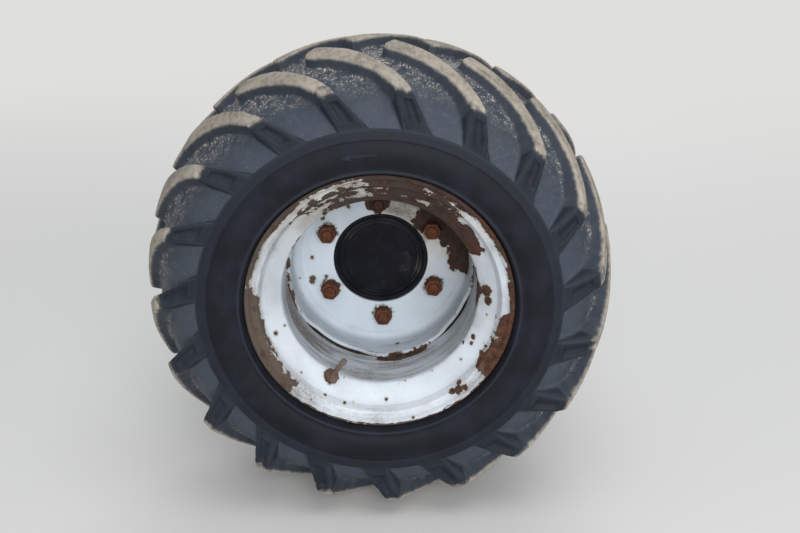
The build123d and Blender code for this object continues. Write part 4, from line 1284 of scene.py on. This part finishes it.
TYRE_RUBBER = worn_rubber()
tyre_mesh = grown(
    tyre_pitch(), tyre_tree(), Seed=3, Wear=1.1 * MM, Material=TYRE_RUBBER,
    **{"Lug Count": LUG_COUNT, "Wear Size": 30 * MM, "Edge Wear": 1.4 * MM},
)
tyre = dress_piece("Tyre_rubber", tyre_mesh, TYRE_RUBBER, "wheel", None)
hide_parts("tyre")

# Turning arrow
# A plain arrow moulded on the tyre's outer sidewall, which shows the way the tyre should turn. It
# stands a millimetre proud, in the same rubber.
ARROW_RADIUS = 246.5
ARROW_TIP, ARROW_HEAD, ARROW_TAIL = 103.0, 99.6, 90.4
ARROW_HALF, ARROW_HEAD_HALF = 1.4, 4.4
ARROW_RISE = 1.0


def wall_width(radius):
    """The sidewall's distance from the middle at a radius."""
    heights = sorted(row for row in SIDEWALL[:16])
    return float(np.interp(radius, [row[0] for row in heights], [row[1] for row in heights]))


def arrow_form():
    form = bmesh.new()
    edge_layer = form.verts.layers.float.new("edge")
    wall_layer = form.verts.layers.float.new("wall")
    stations = [(ARROW_TAIL, ARROW_HALF)]
    stations += [(ARROW_TAIL + (ARROW_HEAD - ARROW_TAIL) * step / 6, ARROW_HALF) for step in range(1, 7)]
    stations += [(ARROW_HEAD + 0.05, ARROW_HEAD_HALF), (ARROW_TIP - 0.2, 0.5)]
    strips = []
    for angle, half in stations:
        strip = []
        for offset, rise in ((-half - 0.7, -0.6), (-half, ARROW_RISE), (half, ARROW_RISE), (half + 0.7, -0.6)):
            radius = ARROW_RADIUS + offset
            vertex = form.verts.new(wheel_point(radius, angle, -(wall_width(radius) + rise)) * MM)
            vertex[edge_layer] = 1.0
            vertex[wall_layer] = 1.0
            strip.append(vertex)
        strips.append(strip)
    for strip, following in zip(strips, strips[1:]):
        for number in range(4):
            form.faces.new([strip[number], strip[(number + 1) % 4], following[(number + 1) % 4], following[number]])
    form.faces.new(strips[0][::-1])
    form.faces.new(strips[-1])
    bmesh.ops.recalc_face_normals(form, faces=form.faces)
    return form


make_piece("Tyre_turning_arrow", arrow_form(), TYRE_RUBBER, "wheel", 40.0)


# Floor, light and camera
# A plain pale floor just under the tyre, soft lamps above and in front, and the camera where the
# photograph was taken from, looking down at the wheel from the side.
FLOOR_DROP = 0.0006
FLOOR_SIZE = 30.0
FLOOR_PALE = (0.66, 0.655, 0.645, 1)
FLOOR_FADE = (0.8, 3.4)
BACKGROUND_PALE = (0.74, 0.735, 0.725, 1)
BACKGROUND_RAYS = ("Camera", "Glossy", "Transmission")
CAMERA_PLACE = (0.0178, -2.1668, 0.7202)
CAMERA_YAW = 0.008
CAMERA_PITCH = -0.37
CAMERA_LENS = 53.3

floor_form = bmesh.new()
bmesh.ops.create_grid(floor_form, x_segments=1, y_segments=1, size=FLOOR_SIZE / 2)
floor_form.transform(Matrix.Translation((0, 0, cad_box[0].z - FLOOR_DROP)))
floor_mesh = bpy.data.meshes.new("Floor")
floor_form.to_mesh(floor_mesh)
floor_form.free()
floor_material = bpy.data.materials.new("Pale floor")
floor_material.use_nodes = True
floor_shader = floor_material.node_tree.nodes["Principled BSDF"]
floor_shader.inputs["Base Color"].default_value = FLOOR_PALE
floor_shader.inputs["Roughness"].default_value = 0.9
w = Wiring(floor_material.node_tree)
from_wheel = w.vector("LENGTH", w.add("ShaderNodeTexCoord").outputs["Object"], output=1)
far_off = w.step(from_wheel, *FLOOR_FADE)
rays = w.add("ShaderNodeLightPath").outputs
seen = w.largest(*[rays[f"Is {kind} Ray"] for kind in BACKGROUND_RAYS])
seen = w.math("MULTIPLY", far_off, seen)
glow = w.add("ShaderNodeEmission", {"Color": BACKGROUND_PALE, "Strength": 1.0})
blend = w.add("ShaderNodeMixShader", {"Fac": seen})
floor_material.node_tree.links.new(floor_shader.outputs[0], blend.inputs[1])
floor_material.node_tree.links.new(glow.outputs[0], blend.inputs[2])
floor_material.node_tree.links.new(blend.outputs[0], floor_material.node_tree.nodes["Material Output"].inputs[0])
floor_mesh.materials.append(floor_material)
floor = bpy.data.objects.new("Floor", floor_mesh)
scene.collection.objects.link(floor)

world = bpy.data.worlds.new("Soft room")
world.use_nodes = True
w = Wiring(world.node_tree)
sky = world.node_tree.nodes["Background"]
sky.inputs["Color"].default_value = (0.86, 0.89, 0.93, 1)
sky.inputs["Strength"].default_value = 0.5
backdrop = w.add("ShaderNodeBackground", {"Color": BACKGROUND_PALE, "Strength": 1.0})
rays = w.add("ShaderNodeLightPath").outputs
split = w.add("ShaderNodeMixShader", {"Fac": w.largest(*[rays[f"Is {kind} Ray"] for kind in BACKGROUND_RAYS])})
for shade, socket in ((sky.outputs[0], split.inputs[1]), (backdrop.outputs[0], split.inputs[2]),
                      (split.outputs[0], world.node_tree.nodes["World Output"].inputs[0])):
    world.node_tree.links.new(shade, socket)
scene.world = world
scene.view_settings.view_transform = "Standard"


def soft_lamp(name, place, target, size, watts):
    lamp = bpy.data.lights.new(name, "AREA")
    lamp.shape = "DISK"
    lamp.size = size
    lamp.energy = watts
    holder = bpy.data.objects.new(name, lamp)
    scene.collection.objects.link(holder)
    holder.location = place
    holder.rotation_euler = (Vector(target) - Vector(place)).to_track_quat("-Z", "Y").to_euler()


wheel_middle = (0, WHEEL_PLANE, 0)
soft_lamp("High lamp", (0.5, -1.6, 3.4), wheel_middle, 2.6, 42.0)
soft_lamp("Front lamp", (0.5, -4.0, 1.25), wheel_middle, 2.6, 112.0)
soft_lamp("Back lamp", (0.6, 3.4, 2.2), wheel_middle, 2.4, 60.0)

camera_data = bpy.data.cameras.new("Camera")
camera_data.lens = CAMERA_LENS
camera = bpy.data.objects.new("Camera", camera_data)
scene.collection.objects.link(camera)
camera.location = CAMERA_PLACE
camera.rotation_euler = (math.pi / 2 + CAMERA_PITCH, 0, -CAMERA_YAW)
scene.camera = camera
